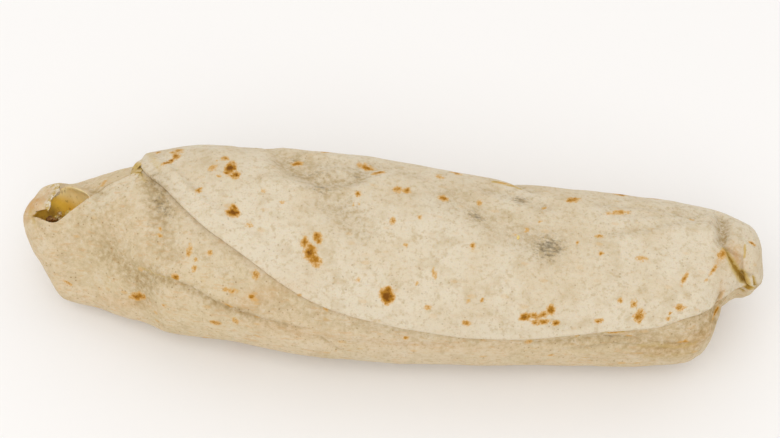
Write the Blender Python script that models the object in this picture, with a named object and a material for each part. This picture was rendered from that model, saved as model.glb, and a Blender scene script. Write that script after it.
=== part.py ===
"""A small filled burrito lying on its underside, its rolled tortilla open in a pocket at one end.

X runs along the roll, with the open pocket at -X and the tucked end at +X. The front, where the free
flap of the tortilla ends, faces -Y. Z is up, and the roll rests on a flat strip at Z = 0. The origin is
under the middle of the roll's box. Sizes below are in millimetres and angles in degrees. A ring angle
is measured round the roll: 0 at the back, 90 on top, 180 at the front, 270 underneath.
"""

import bmesh
import bpy
import numpy as np
from mathutils import Matrix

MM = 0.001
TURN = 2.0 * np.pi

# The roll from end to end.
LEFT_TIP = -73.5
RIGHT_TIP = 74.0
BELLY_END = 66.0           # where the lower layer stops, short of the tucked nose
LEFT_ROUNDING = 3.0
RIGHT_ROUNDING = 4.5
BELLY_ROUNDING = 3.2

# Cross-sections along the roll: x, front edge y, back edge y, top z, underside z, height of the
# widest point, and how full the upper front is (2 is an ellipse, 1 is a straight slope).
ROLL = np.array([
    (-73.5, -3.0, 4.0, 20.4, 12.0, 16.8, 1.7),
    (-70.0, -6.3, 8.6, 21.7, 8.0, 13.5, 1.6),
    (-65.0, -11.5, 12.5, 23.1, 1.5, 8.0, 1.4),
    (-60.0, -11.8, 13.9, 24.1, 0.0, 7.0, 1.4),
    (-52.0, -14.7, 16.4, 26.8, 0.0, 9.0, 1.6),
    (-47.0, -16.1, 17.9, 27.6, 0.0, 11.0, 1.8),
    (-42.0, -18.3, 18.8, 28.4, 0.0, 12.5, 1.95),
    (-30.0, -19.3, 20.0, 29.2, 0.0, 13.0, 2.1),
    (-10.0, -21.2, 20.8, 29.5, 0.0, 13.0, 2.2),
    (10.0, -20.7, 19.2, 29.0, 0.0, 13.0, 2.2),
    (30.0, -18.6, 17.0, 27.6, 0.0, 12.5, 2.2),
    (50.0, -16.8, 16.9, 25.8, 0.0, 12.0, 2.2),
    (60.0, -15.3, 16.1, 24.6, 0.0, 12.5, 2.2),
    (66.0, -12.1, 14.8, 23.0, 1.9, 12.5, 2.3),
    (74.0, -12.2, 12.8, 22.0, 2.0, 13.0, 2.5),
])
# The same for the tucked nose, which the flap wraps and which stands out past the belly.
NOSE = np.array([
    (50.0, -16.8, 16.9, 25.8, 0.0, 12.0, 2.2),
    (60.0, -14.4, 16.1, 24.6, 2.0, 13.5, 2.2),
    (66.0, -7.2, 14.1, 23.0, 8.8, 15.5, 2.3),
    (70.0, -1.6, 11.8, 21.6, 7.2, 15.5, 2.5),
    (74.0, -2.6, 11.2, 19.8, 8.8, 15.5, 2.6),
])
NOSE_START = (50.0, 58.0)
AXIS_SHIFT = (54.0, 68.0)
UPPER_BACK_POWER = 2.2
UNDERSIDE_POWER = 2.8
UNDERSIDE_SINK = 1.03      # the underside is cut flat a little above its lowest curve

# The seam runs along the folded edge of the front layer to the flap's corner, then along the free
# edge of the flap. Each row is x and ring angle.
CORNER = -50.5
FOLD_EDGE = np.array([
    (-74.0, 118.0), (-70.0, 112.5), (-66.0, 105.5), (-63.0, 97.5), (-59.2, 89.0), (-54.5, 80.0),
    (-52.0, 74.5), (-50.5, 69.0),
])
FLAP_EDGE = np.array([
    (-50.5, 62.0), (-48.5, 70.0), (-44.6, 79.5), (-39.1, 97.5), (-33.9, 111.5), (-27.2, 124.0),
    (-16.6, 141.0), (-11.1, 147.0), (-3.9, 152.0), (7.9, 157.0), (19.1, 160.0), (25.0, 160.0),
    (31.5, 158.5), (42.6, 152.5), (52.7, 149.0), (60.0, 144.0), (65.0, 150.0), (74.0, 175.0),
])
FLAP_THICKNESS = 1.6
FLAP_FADE = 0.5            # share of the turn over which the flap sinks level with the layer below
CORNER_WIDTH = 0.2
CORNER_LEAN = -6.0         # how far the flap's end leans to the left, down the back
CORNER_REACH = 20.0
FOLD_LIFT = 0.7            # the front layer's fold above the plain roll, and the back layer below it
FOLD_DROP = 1.3
FOLD_REACH = 8.0
FOLD_STARTS = (-72.0, -68.0)
FOLD_STOPS = (-50.5, -44.0)
EDGE_GAP = 1.2             # strip beside the seam, before the regular rows begin
EDGE_ROUND = 0.3

# The pocket's mouth opens along the seam: how far it opens round the roll, its depth, and how far
# its floor runs on to the right under the roll.
MOUTH = np.array([
    (-74.0, 0.0), (-71.4, 0.0), (-69.6, 15.0), (-67.8, 31.0), (-66.2, 44.0), (-63.6, 29.0),
    (-61.2, 15.0), (-58.4, 0.0), (-50.0, 0.0),
])
MOUTH_ENDS = (-71.4, -58.4)
POCKET_DEPTH = 11.5
POCKET_RUN = 4.0

# Creases pressed into the outside: a route of x and ring angle, a half width and a depth.
CREASES = (
    (((-47.5, 142.0), (-36.0, 151.0), (-25.0, 161.0), (-11.4, 166.0)), 2.2, 0.9),
    (((-22.0, 54.0), (-14.0, 72.0), (-6.0, 62.0)), 3.0, 0.8),
    (((-18.0, 86.0), (-7.4, 80.0)), 2.6, 0.5),
    (((64.2, 50.0), (64.6, 91.0)), 1.3, 1.0),
    (((64.6, 91.0), (67.6, 131.0), (71.1, 162.0)), 1.5, 1.9),
)

# The filling inside.
CORE_ENDS = (-60.5, 61.0)
CORE_WALL = 4.6            # rolled tortilla between the filling and the outside
CORE_ROUNDING = 7.0
GAP = 0.3

COLUMNS = 68
ROWS = 36
SEAM_ROWS = 10
CORE_COLUMNS = 26
CORE_ROWS = 20

TORTILLA_COLOUR = (0.73, 0.62, 0.44, 1.0)
FILLING_COLOUR = (0.55, 0.33, 0.08, 1.0)


def smooth(t):
    """Ease from 0 to 1."""
    t = np.clip(t, 0.0, 1.0)
    return t * t * (3.0 - 2.0 * t)


def ramp(x, start, end):
    return smooth((x - start) / (end - start))


def through(x, table, column=1):
    """A smooth curve through a table's stations, without overshoot."""
    stations = table[:, 0]
    values = table[:, column]
    slope = np.diff(values) / np.diff(stations)
    tangent = np.zeros_like(values)
    product = slope[:-1] * slope[1:]
    rising = product > 0.0
    tangent[1:-1][rising] = 2.0 * product[rising] / (slope[:-1] + slope[1:])[rising]
    tangent[0] = slope[0]
    tangent[-1] = slope[-1]
    x = np.clip(x, stations[0], stations[-1])
    k = np.clip(np.searchsorted(stations, x, side="right") - 1, 0, len(stations) - 2)
    width = stations[k + 1] - stations[k]
    t = (x - stations[k]) / width
    start = (1.0 + 2.0 * t) * (1.0 - t) ** 2 * values[k] + t * (1.0 - t) ** 2 * width * tangent[k]
    end = t * t * (3.0 - 2.0 * t) * values[k + 1] + t * t * (t - 1.0) * width * tangent[k + 1]
    return start + end


def rounding(depth, length, power):
    """0 at a tip, 1 from `length` inward."""
    t = np.clip(1.0 - depth / length, 0.0, 1.0)
    return np.sqrt(1.0 - t ** power)


def middle(x, table):
    return (through(x, table, 1) + through(x, table, 2)) / 2.0, through(x, table, 5)


def axis(x):
    """Side position and height of the line that the rings are centred on."""
    y, z = middle(x, ROLL)
    nose_y, nose_z = middle(x, NOSE)
    share = ramp(x, *AXIS_SHIFT)
    return y + (nose_y - y) * share, z + (nose_z - z) * share


def radius(x, angle, y, z, table):
    """Distance from the axis to the table's outline, in the direction of a ring angle."""
    front, back, top, base = [through(x, table, i) for i in (1, 2, 3, 4)]
    at_front = np.cos(angle) < 0.0
    above = np.sin(angle) > 0.0
    across = np.where(at_front, y - front, back - y)
    upright = np.where(above, top - z, (z - base) * UNDERSIDE_SINK)
    upper = np.where(at_front, through(x, table, 6), UPPER_BACK_POWER)
    power = np.where(above, upper, UNDERSIDE_POWER)
    spread = (np.abs(np.cos(angle)) / across) ** power + (np.abs(np.sin(angle)) / upright) ** power
    return spread ** (-1.0 / power)


def skin(x, angle, lift=0.0, lower=0.0):
    """Points of the roll. `lift` raises them off it, `lower` is 1 on the layer under the flap."""
    x, angle, lift, lower = np.broadcast_arrays(x, angle, lift, lower)
    y, z = axis(x)
    body = radius(x, angle, y, z, ROLL)
    nose = radius(x, angle, y, z, NOSE)
    r = body + (nose - body) * ramp(x, *NOSE_START)
    belly = rounding(np.maximum(BELLY_END - x, 0.0), BELLY_ROUNDING, 2.5)
    r = r + lower * belly * (body - r) + lift
    r = r * rounding(x - LEFT_TIP, LEFT_ROUNDING, 2.2) * rounding(RIGHT_TIP - x, RIGHT_ROUNDING, 3.0)
    height = np.maximum(z + r * np.sin(angle), 0.0)
    return np.stack([x, y + r * np.cos(angle), height], axis=-1)


def seam_angle(x):
    return np.radians(np.where(x < CORNER, through(x, FOLD_EDGE), through(x, FLAP_EDGE)))


def seam_away(x):
    """The direction across the seam towards the front, in the unrolled sheet."""
    step = 0.4
    start = np.where(x < CORNER, x - step, x)
    turn = seam_angle(start + np.where(x < CORNER, 0.9 * step, step)) - seam_angle(start)
    y, z = axis(x)
    slope = turn / step * radius(x, seam_angle(x), y, z, ROLL)
    size = np.hypot(1.0, slope)
    return -slope / size, 1.0 / size


def columns(count):
    """Stations along the roll, closer together where the ends are rounded."""
    x = np.linspace(LEFT_TIP, RIGHT_TIP, 600)
    close = 2.5 * np.exp(-(x - LEFT_TIP) / 4.0) + 0.8 * (x < CORNER)
    close = close + 3.0 * np.exp(-np.abs(x - BELLY_END) / 3.5) + 2.0 * np.exp(-(RIGHT_TIP - x) / 2.5)
    total = np.cumsum(1.0 + close)
    total = (total - total[0]) / (total[-1] - total[0])
    x = np.interp((np.arange(count) + 0.5) / count, total, x)
    before = np.searchsorted(x, CORNER) - 1
    x[before] = CORNER - CORNER_WIDTH
    x[before + 1] = CORNER + CORNER_WIDTH
    return x[:, None]


def layer_lift(x, front_side, distance, turn):
    """How far a layer lies above the plain roll: the flap's step, and the fold's on its left."""
    flap = FLAP_THICKNESS * (1.0 - smooth(turn / FLAP_FADE)) * (x > CORNER)
    near = np.exp(-(distance / FOLD_REACH) ** 2) * ramp(x, *FOLD_STARTS)
    raised = FOLD_LIFT * near * (1.0 - ramp(x, *FOLD_STOPS))
    return np.where(front_side, raised, np.where(x < CORNER, -FOLD_DROP * near, flap))


def seam_profile(x, share):
    """Offset towards the front and height share, from the front layer over to the other side."""
    away = EDGE_ROUND * (1.0 - 2.0 * share)
    rise = np.where(x < CORNER, smooth(share / 0.7), smooth((share - 0.3) / 0.7))
    return away, rise


def seam_points(x, r):
    """The strip across the seam: a step, which opens into the pocket where the mouth is."""
    share = np.linspace(0.0, 1.0, SEAM_ROWS)[None, :]
    inside = (x > MOUTH_ENDS[0]) & (x < MOUTH_ENDS[1])
    steps = np.where(inside, share, np.round(share * 3.0) / 3.0)
    along, around = seam_away(x)
    high = layer_lift(x, True, 0.0, 1.0)
    low = layer_lift(x, False, 0.0, 0.0)
    away, rise = seam_profile(x, steps)
    angle = seam_angle(x) + around * away / r
    step = skin(x + along * away, angle, high + (low - high) * rise, 1.0 - steps)

    opening = np.radians(through(x, MOUTH))
    front_rim = skin(x, seam_angle(x), high)
    back_rim = skin(x, seam_angle(x) - opening, low)
    t = np.clip((x - MOUTH_ENDS[0]) / (MOUTH_ENDS[1] - MOUTH_ENDS[0]), 0.0, 1.0)
    depth = (1.0 - np.abs(2.0 * t - 1.0) ** 2.2) * np.sin(np.pi * steps) ** 0.75
    across = ((1.0 - np.cos(np.pi * steps)) / 2.0)[..., None]
    inward = seam_angle(x) - opening / 2.0
    drop = np.stack([POCKET_RUN + 0.0 * inward, -POCKET_DEPTH * np.cos(inward),
                     -POCKET_DEPTH * np.sin(inward)], axis=-1)
    pocket = front_rim + (back_rim - front_rim) * across + drop * depth[..., None]
    return np.where(inside[..., None], pocket, step), angle


def roll_points():
    """Rings round the rolled tortilla, from the seam over the back and underneath to its front."""
    x = columns(COLUMNS)
    y, z = axis(x)
    r = radius(x, seam_angle(x), y, z, ROLL)
    gap = EDGE_GAP / r
    opening = np.radians(through(x, MOUTH))
    turn = np.linspace(0.0, 1.0, ROWS)[None, :]
    angle = seam_angle(x) - opening - gap - (TURN - opening - 2.0 * gap) * turn
    distance = np.minimum(turn, 1.0 - turn) * TURN * r
    lift = layer_lift(x, turn > 0.5, distance, turn)
    behind = smooth(turn / 0.35) * (1.0 - ramp(turn, 0.6, 0.9))
    near_corner = 1.0 - smooth(np.abs(x - CORNER) / CORNER_REACH)
    lower = ramp(turn, 0.3, 0.55)
    regular = skin(x + CORNER_LEAN * behind * near_corner, angle, lift, lower)
    seam, angle_at_seam = seam_points(x, r)
    points = np.concatenate([regular, seam], axis=1)
    return pressed(points, np.concatenate([angle, angle_at_seam], axis=1))


def distance_to_route(points, route):
    """Distance from each point to a line through the route's places on the roll."""
    route = np.array(route)
    places = skin(route[:, 0], np.radians(route[:, 1]))
    nearest = np.full(points.shape[:-1], np.inf)
    for start, end in zip(places[:-1], places[1:]):
        run = end - start
        t = np.clip(((points - start) @ run) / (run @ run), 0.0, 1.0)
        nearest = np.minimum(nearest, np.linalg.norm(points - start - t[..., None] * run, axis=-1))
    return nearest


def pressed(points, angle):
    """The points with every crease pressed towards the axis of the roll."""
    depth = np.zeros(points.shape[:-1])
    for route, width, deepest in CREASES:
        depth = depth + deepest * np.exp(-(distance_to_route(points, route) / width) ** 2)
    inward = np.stack([np.zeros_like(angle), -np.cos(angle), -np.sin(angle)], axis=-1)
    moved = points + inward * depth[..., None]
    moved[..., 2] = np.where(points[..., 2] > 0.0, np.maximum(moved[..., 2], 0.0), 0.0)
    return moved


def add_object(name, mesh, colour=None):
    thing = bpy.data.objects.new(name, mesh)
    bpy.context.collection.objects.link(thing)
    if colour:
        material = bpy.data.materials.new(name)
        material.use_nodes = True
        shader = material.node_tree.nodes["Principled BSDF"]
        shader.inputs["Base Color"].default_value = colour
        shader.inputs["Roughness"].default_value = 0.7
        shader.inputs["Metallic"].default_value = 0.0
        mesh.materials.append(material)
    return thing


def closed_rings(points, start, end):
    """A closed mesh from rings of points, with a tip at each end."""
    count, size, _ = points.shape
    bm = bmesh.new()
    rings = [[bm.verts.new(p * MM) for p in ring] for ring in points]
    first = bm.verts.new(np.array(start) * MM)
    last = bm.verts.new(np.array(end) * MM)
    for j in range(size):
        k = (j + 1) % size
        bm.faces.new((first, rings[0][j], rings[0][k]))
        bm.faces.new((last, rings[-1][k], rings[-1][j]))
        for i in range(count - 1):
            bm.faces.new((rings[i][j], rings[i + 1][j], rings[i + 1][k], rings[i][k]))
    bmesh.ops.remove_doubles(bm, verts=bm.verts[:], dist=1e-6)
    bmesh.ops.triangulate(bm, faces=bm.faces[:])
    bmesh.ops.recalc_face_normals(bm, faces=bm.faces[:])
    mesh = bpy.data.meshes.new("rings")
    bm.to_mesh(mesh)
    bm.free()
    return mesh


def tip(x):
    y, z = axis(np.array(x))
    return x, y, z


def core_mesh(grow):
    """The filling's outline, `grow` larger all round."""
    left = CORE_ENDS[0] - grow
    right = CORE_ENDS[1] + grow
    share = (np.arange(CORE_COLUMNS) + 0.5) / CORE_COLUMNS
    x = (left + (right - left) * (1.0 - np.cos(np.pi * share)) / 2.0)[:, None]
    angle = (np.arange(CORE_ROWS) * TURN / CORE_ROWS)[None, :]
    y, z = axis(x)
    r = radius(x, angle, y, z, ROLL) - CORE_WALL + grow
    r = r * rounding(x - left, CORE_ROUNDING, 2.0) * rounding(right - x, CORE_ROUNDING, 2.0)
    x, r = np.broadcast_arrays(x, r)
    points = np.stack([x, y + r * np.cos(angle), z + r * np.sin(angle)], axis=-1)
    return closed_rings(points, tip(left), tip(right))


def hollow_out(thing, mesh):
    """Take a closed mesh out of an object."""
    cutter = add_object("cavity_cutter", mesh)
    cutter.hide_render = True
    cutter.display_type = "WIRE"
    modifier = thing.modifiers.new("cavity", "BOOLEAN")
    modifier.operation = "DIFFERENCE"
    modifier.object = cutter
    return cutter


def settle(things):
    """Move everything so that the origin is under the middle of the first one's box."""
    box = np.array(things[0].bound_box)
    low = box.min(axis=0)
    high = box.max(axis=0)
    shift = Matrix.Translation((-(low[0] + high[0]) / 2.0, -(low[1] + high[1]) / 2.0, -low[2]))
    for thing in things:
        thing.data.transform(shift)


def main():
    for old in list(bpy.data.objects):
        bpy.data.objects.remove(old)
    tortilla = add_object("tortilla", closed_rings(roll_points(), tip(LEFT_TIP), tip(RIGHT_TIP)),
                          TORTILLA_COLOUR)
    filling = add_object("filling", core_mesh(0.0), FILLING_COLOUR)
    settle([tortilla, filling, hollow_out(tortilla, core_mesh(GAP))])


main()
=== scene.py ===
"""Looks of a small filled burrito: a rolled, toasted tortilla with an open pocket at its left end.

The roll repeats the part's own outline at a finer step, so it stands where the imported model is. It
adds what the plain solid leaves out: the tortilla's rounded free edge, the torn sheet and crumbs in
the pocket, the pleat at the tucked end, soft wrinkles, and toasted marks where the dough met the
griddle. Lengths below are in millimetres until a mesh is made, and angles are in degrees. A ring
angle is measured round the roll: 0 at the back, 90 on top, 180 at the front, 270 underneath.
"""

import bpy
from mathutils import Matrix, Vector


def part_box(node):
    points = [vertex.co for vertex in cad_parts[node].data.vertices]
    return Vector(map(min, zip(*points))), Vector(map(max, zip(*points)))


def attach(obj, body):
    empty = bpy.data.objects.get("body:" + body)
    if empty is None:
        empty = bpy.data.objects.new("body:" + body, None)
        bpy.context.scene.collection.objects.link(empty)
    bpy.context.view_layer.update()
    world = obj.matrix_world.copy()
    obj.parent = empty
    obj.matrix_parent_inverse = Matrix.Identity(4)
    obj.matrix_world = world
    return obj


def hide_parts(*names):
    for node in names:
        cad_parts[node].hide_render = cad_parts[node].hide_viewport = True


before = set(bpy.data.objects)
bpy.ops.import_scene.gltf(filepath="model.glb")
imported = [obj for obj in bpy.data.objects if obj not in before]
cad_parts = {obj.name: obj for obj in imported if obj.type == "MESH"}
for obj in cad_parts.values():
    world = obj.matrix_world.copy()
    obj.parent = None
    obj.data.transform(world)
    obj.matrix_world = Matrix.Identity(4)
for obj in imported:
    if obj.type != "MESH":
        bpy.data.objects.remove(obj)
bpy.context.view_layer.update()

import copy
import math

import bmesh
import bpy
import numpy as np
from mathutils import Vector

MM = 0.001
TURN = 2.0 * np.pi

# The roll from end to end, as the part has it. A rounding is its length and how square it is.
LEFT_TIP = -73.5
RIGHT_TIP = 74.0
BELLY_END = 66.0           # where the lower layer stops, short of the tucked nose
LEFT_ROUNDING = (3.0, 2.2)
RIGHT_ROUNDING = (4.5, 3.0)
BELLY_ROUNDING = (3.2, 2.5)

# Cross-sections: x, front edge y, back edge y, top z, underside z, height of the widest point, and
# how full the upper front is.
ROLL = np.array([
    (-73.5, -3.0, 4.0, 20.4, 12.0, 16.8, 1.7),
    (-70.0, -6.3, 8.6, 21.7, 8.0, 13.5, 1.6),
    (-65.0, -11.5, 12.5, 23.1, 1.5, 8.0, 1.4),
    (-60.0, -11.8, 13.9, 24.1, 0.0, 7.0, 1.4),
    (-52.0, -14.7, 16.4, 26.8, 0.0, 9.0, 1.6),
    (-47.0, -16.1, 17.9, 27.6, 0.0, 11.0, 1.8),
    (-42.0, -18.3, 18.8, 28.4, 0.0, 12.5, 1.95),
    (-30.0, -19.3, 20.0, 29.2, 0.0, 13.0, 2.1),
    (-10.0, -21.2, 20.8, 29.5, 0.0, 13.0, 2.2),
    (10.0, -20.7, 19.2, 29.0, 0.0, 13.0, 2.2),
    (30.0, -18.6, 17.0, 27.6, 0.0, 12.5, 2.2),
    (50.0, -16.8, 16.9, 25.8, 0.0, 12.0, 2.2),
    (60.0, -15.3, 16.1, 24.6, 0.0, 12.5, 2.2),
    (66.0, -12.1, 14.8, 23.0, 1.9, 12.5, 2.3),
    (74.0, -12.2, 12.8, 22.0, 2.0, 13.0, 2.5),
])
NOSE = np.array([
    (50.0, -16.8, 16.9, 25.8, 0.0, 12.0, 2.2),
    (60.0, -14.4, 16.1, 24.6, 2.0, 13.5, 2.2),
    (66.0, -7.2, 14.1, 23.0, 8.8, 15.5, 2.3),
    (70.0, -1.6, 11.8, 21.6, 7.2, 15.5, 2.5),
    (74.0, -2.6, 11.2, 19.8, 8.8, 15.5, 2.6),
])
NOSE_START = (50.0, 58.0)
AXIS_SHIFT = (54.0, 68.0)
UPPER_BACK_POWER = 2.2
UNDERSIDE_POWER = 2.8
UNDERSIDE_SINK = 1.03

# The seam runs along the folded edge of the front layer to the flap's corner, then along the free
# edge of the flap. Each row is x and ring angle.
CORNER = -50.5
FOLD_EDGE = np.array([
    (-74.0, 118.0), (-70.0, 112.5), (-66.0, 105.5), (-63.0, 97.5), (-59.2, 89.0), (-54.5, 80.0),
    (-52.0, 74.5), (-50.5, 69.0),
])
FLAP_EDGE = np.array([
    (-50.5, 62.0), (-48.5, 70.0), (-44.6, 79.5), (-39.1, 97.5), (-33.9, 111.5), (-27.2, 124.0),
    (-16.6, 141.0), (-11.1, 147.0), (-3.9, 152.0), (7.9, 157.0), (19.1, 160.0), (25.0, 160.0),
    (31.5, 158.5), (42.6, 152.5), (52.7, 149.0), (60.0, 144.0), (65.0, 150.0), (74.0, 175.0),
])
FLAP_THICKNESS = 1.6
FLAP_FADE = 0.5            # share of the turn over which the flap's step fades out behind
FLAP_ROUND = 1.1           # distance from its corner at which the flap is at its full thickness
FRONT_RISE = 0.45          # the layer under the flap swells this much towards the flap's edge
FRONT_REACH = 7.0
FRONT_SWELL = (-52.5, -40.5)  # where along the roll that begins
CORNER_BLEND = 0.7         # half the length over which the fold gives way to the flap
CORNER_LEAN = -6.0         # how far along the roll the flap's left end moves as it goes round behind
CORNER_REACH = 20.0
LEAN_RISES = (0.0, 0.35)   # shares of the turn
LEAN_FALLS = (0.6, 0.9)
LAYER_CHANGE = (0.3, 0.55)  # share of the turn over which the flap gives way to the lower layer
BELLY_TUCK = (55.0, 62.0)  # from here on the lower layer starts level with the flap's edge
TUCK_REACH = 4.5
FOLD_LIFT = 0.7
FOLD_DROP = 1.3
FOLD_REACH = 8.0
FOLD_STARTS = (-72.0, -68.0)
FOLD_STOPS = (-50.5, -44.0)
STRIP_HALF = 1.2           # half the width of the strip that holds the edge's rounded profile
STRIP_MARGIN = 0.35
STEP_LEAST = 0.6           # where the step is lower than this, the edge's profile flattens
TIP_CALM = 3.0             # this near to a tip, the strip runs straight round
# Painted shade along the foot of the edge, where its step casts a shadow:
CREVICE = (0.25, 0.11)     # its place on the strip, from -1 to 1, and its half width

# The rounded free edge, from the layer below over the edge to the top of the flap: offset towards
# the front and share of the flap's thickness.
EDGE_PROFILE = np.array([
    (1.2, 0.0), (0.8, 0.0), (0.4, 0.0), (0.1, 0.0), (0.0, 0.04), (0.25, 0.12), (0.6, 0.36),
    (0.5, 0.84), (0.05, 1.04), (-0.5, 1.0), (-1.2, 1.0),
])

# The pocket at the left end.
MOUTH = np.array([
    (-74.0, 0.0), (-71.4, 0.0), (-69.6, 15.0), (-67.8, 31.0), (-66.2, 44.0), (-63.6, 29.0),
    (-61.2, 15.0), (-58.4, 0.0), (-50.0, 0.0),
])
MOUTH_ENDS = (-71.4, -58.4)
MOUTH_BLEND = 0.07         # share of the mouth's length over which it opens at either end
POCKET_DEPTH = 6.0
POCKET_RUN = 3.0           # the floor of the pocket lies this far to the right of its mouth
POCKET_FULLNESS = 2.2
RIM_START = (0.7, 0.1)     # distance before the front rim, and rise, where its rounding begins
# From the front rim down and up to the back one: share of the way to the back rim, shift towards the
# front, the same where the pocket is deep, rise, and share of the pocket's depth.
POCKET_ROUTE = (
    (0.0, 0.15, 0.0, 0.12, 0.0), (0.0, 0.0, -0.3, -0.35, 0.0), (0.0, 0.0, 0.9, 0.0, 0.3),
    (0.2, 0.0, 0.6, 0.0, 0.92), (0.7, 0.0, 0.0, 0.0, 1.0), (1.0, 0.0, -0.5, 0.0, 0.45),
    (1.0, 0.0, 0.12, -0.3, 0.0), (1.0, -0.3, 0.0, 0.08, 0.0),
)
# Across the strip, from its middle: where each rim's own dough begins, and how the walls get lighter
# towards the rims, which is painted shade deeper in the pocket.
FRONT_RIM = (0.36, 0.50)
BACK_RIM = (0.60, 0.74)
FRONT_WALL = (0.1, 0.5)
BACK_WALL = (-0.1, 0.5)
FRONT_WALL_LIGHT = 0.6
# Painted shadow: the pocket's left end, under the torn sheet, is dark.
LEFT_END_SHADE = (-69.8, -65.8)  # the pocket's left end is dark

# The torn sheet that covers the left of the mouth: its torn edge as ring angle and x, and its lower
# boundary over the dark hole as x and ring angle.
LIP_GRID = (70, 110)
LIP_LEFT = -72.6
LIP_RIGHT = -67.0
LIP_BACK = 36.0
LIP_TORN = np.array([
    (36.0, -69.5), (54.0, -68.6), (64.0, -67.4), (73.0, -66.5), (80.0, -66.2), (86.0, -66.7), (93.0, -67.5),
    (100.0, -67.2), (108.0, -67.0),
])
LIP_LOW = np.array([(-72.6, 106.0), (-70.7, 102.0), (-68.9, 98.5), (-67.4, 96.5), (-65.0, 99.0)])
LIP_THICKNESS = 1.0
LIP_SINK = 0.6
LIP_RISE = 0.3
LIP_CURL = 0.8
LIP_DROOP = 0.3
LIP_TINT = (-70.2, 2.0, 82.0, 20.0)  # x, reach along, ring angle, reach round

# The filling inside, as the part has it, and the crumbs in the pocket and on the flap: x, ring angle,
# depth under the plain roll (a negative depth is above it), and size.
CORE_GRID = (150, 96)
CORE_ENDS = (-60.5, 61.0)
CORE_WALL = 4.6
CORE_ROUNDING = (7.0, 2.0)
EGG_CRUMBS = (
    (25.2, 97.0, -1.8, 0.36), (-64.6, 86.0, 5.6, 0.8), (-66.6, 92.0, 4.6, 0.6), (-63.4, 88.0, 4.6, 0.5),
)
SAUSAGE_CRUMBS = (
    (-66.8, 100.5, 2.4, 0.5), (-68.2, 100.5, 3.4, 0.6), (-65.8, 97.0, 4.2, 0.6), (-67.4, 97.0, 4.6, 0.7),
    (-69.6, 101.5, 3.2, 0.4), (-67.4, 102.0, 1.8, 0.32),
)
DOUGH_CRUMBS = (
    (-65.4, 99.5, 2.0, 0.4), (-65.8, 94.5, 2.8, 0.5), (-66.0, 91.5, 3.1, 0.42),
)

# The grid of the roll: x and the distance between columns there, and the rows outside the strip.
COLUMN_SPACING = np.array([
    (-74.0, 0.3), (-71.0, 0.3), (-66.0, 0.36), (-57.0, 0.38), (-52.0, 0.38), (-50.9, 0.1),
    (-49.6, 0.12), (-48.0, 0.42), (-30.0, 0.5), (50.0, 0.5), (60.0, 0.34), (63.5, 0.22),
    (71.5, 0.22), (74.0, 0.3),
])
COLUMN_TRIALS = 6000
TIP_SPACING = (0.012, 0.16)  # the distance between columns at a tip, and how it grows from there
LEAST_RADIUS = 0.5         # for measuring round the tips
ROWS = 186
ROW_CROWDING = 0.06
SEAM_HOLD = 0.16           # share of the turn over which the rows stop following the seam's corner
REGULAR_SHARE = 0.93       # of the bake map, for the rows outside the seam's strip


def smooth(t):
    """Ease from 0 to 1."""
    t = np.clip(t, 0.0, 1.0)
    return t * t * (3.0 - 2.0 * t)


def ramp(x, start, end):
    return smooth((x - start) / (end - start))


def bell(distance, reach):
    """1 at no distance, and next to nothing at twice the reach."""
    return np.exp(-(distance / reach) ** 2)


def through(x, table, column=1):
    """A smooth curve through a table's stations, without overshoot."""
    stations = table[:, 0]
    values = table[:, column]
    slope = np.diff(values) / np.diff(stations)
    tangent = np.zeros_like(values)
    product = slope[:-1] * slope[1:]
    rising = product > 0.0
    tangent[1:-1][rising] = 2.0 * product[rising] / (slope[:-1] + slope[1:])[rising]
    tangent[0] = slope[0]
    tangent[-1] = slope[-1]
    x = np.clip(x, stations[0], stations[-1])
    k = np.clip(np.searchsorted(stations, x, side="right") - 1, 0, len(stations) - 2)
    width = stations[k + 1] - stations[k]
    t = (x - stations[k]) / width
    start = (1.0 + 2.0 * t) * (1.0 - t) ** 2 * values[k] + t * (1.0 - t) ** 2 * width * tangent[k]
    end = t * t * (3.0 - 2.0 * t) * values[k + 1] + t * t * (t - 1.0) * width * tangent[k + 1]
    return start + end


def rounding(depth, length, power):
    """0 at a tip, 1 from `length` inward."""
    t = np.clip(1.0 - depth / length, 0.0, 1.0)
    return np.sqrt(1.0 - t ** power)


def tips(x):
    """0 at both tips of the roll, 1 between them."""
    return rounding(x - LEFT_TIP, *LEFT_ROUNDING) * rounding(RIGHT_TIP - x, *RIGHT_ROUNDING)


def middle(x, table):
    return (through(x, table, 1) + through(x, table, 2)) / 2.0, through(x, table, 5)


def axis(x):
    """Side position and height of the line that the rings are centred on."""
    y, z = middle(x, ROLL)
    nose_y, nose_z = middle(x, NOSE)
    share = ramp(x, *AXIS_SHIFT)
    return y + (nose_y - y) * share, z + (nose_z - z) * share


def radius(x, angle, y, z, table):
    """Distance from the axis to the table's outline, in the direction of a ring angle."""
    front, back, top, base = [through(x, table, i) for i in (1, 2, 3, 4)]
    at_front = np.cos(angle) < 0.0
    above = np.sin(angle) > 0.0
    across = np.where(at_front, y - front, back - y)
    upright = np.where(above, top - z, (z - base) * UNDERSIDE_SINK)
    upper = np.where(at_front, through(x, table, 6), UPPER_BACK_POWER)
    power = np.where(above, upper, UNDERSIDE_POWER)
    spread = (np.abs(np.cos(angle)) / across) ** power + (np.abs(np.sin(angle)) / upright) ** power
    return spread ** (-1.0 / power)


def skin(x, angle, lift=0.0, lower=0.0):
    """Points of the roll. `lift` raises them off it, `lower` is 1 on the layer under the flap."""
    x, angle, lift, lower = np.broadcast_arrays(x, angle, lift, lower)
    y, z = axis(x)
    body = radius(x, angle, y, z, ROLL)
    nose = radius(x, angle, y, z, NOSE)
    r = body + (nose - body) * ramp(x, *NOSE_START)
    belly = rounding(np.maximum(BELLY_END - x, 0.0), *BELLY_ROUNDING)
    r = (r + lower * belly * (body - r) + lift) * tips(x)
    height = np.maximum(z + r * np.sin(angle), 0.0)
    return np.stack([x, y + r * np.cos(angle), height], axis=-1)


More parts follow.
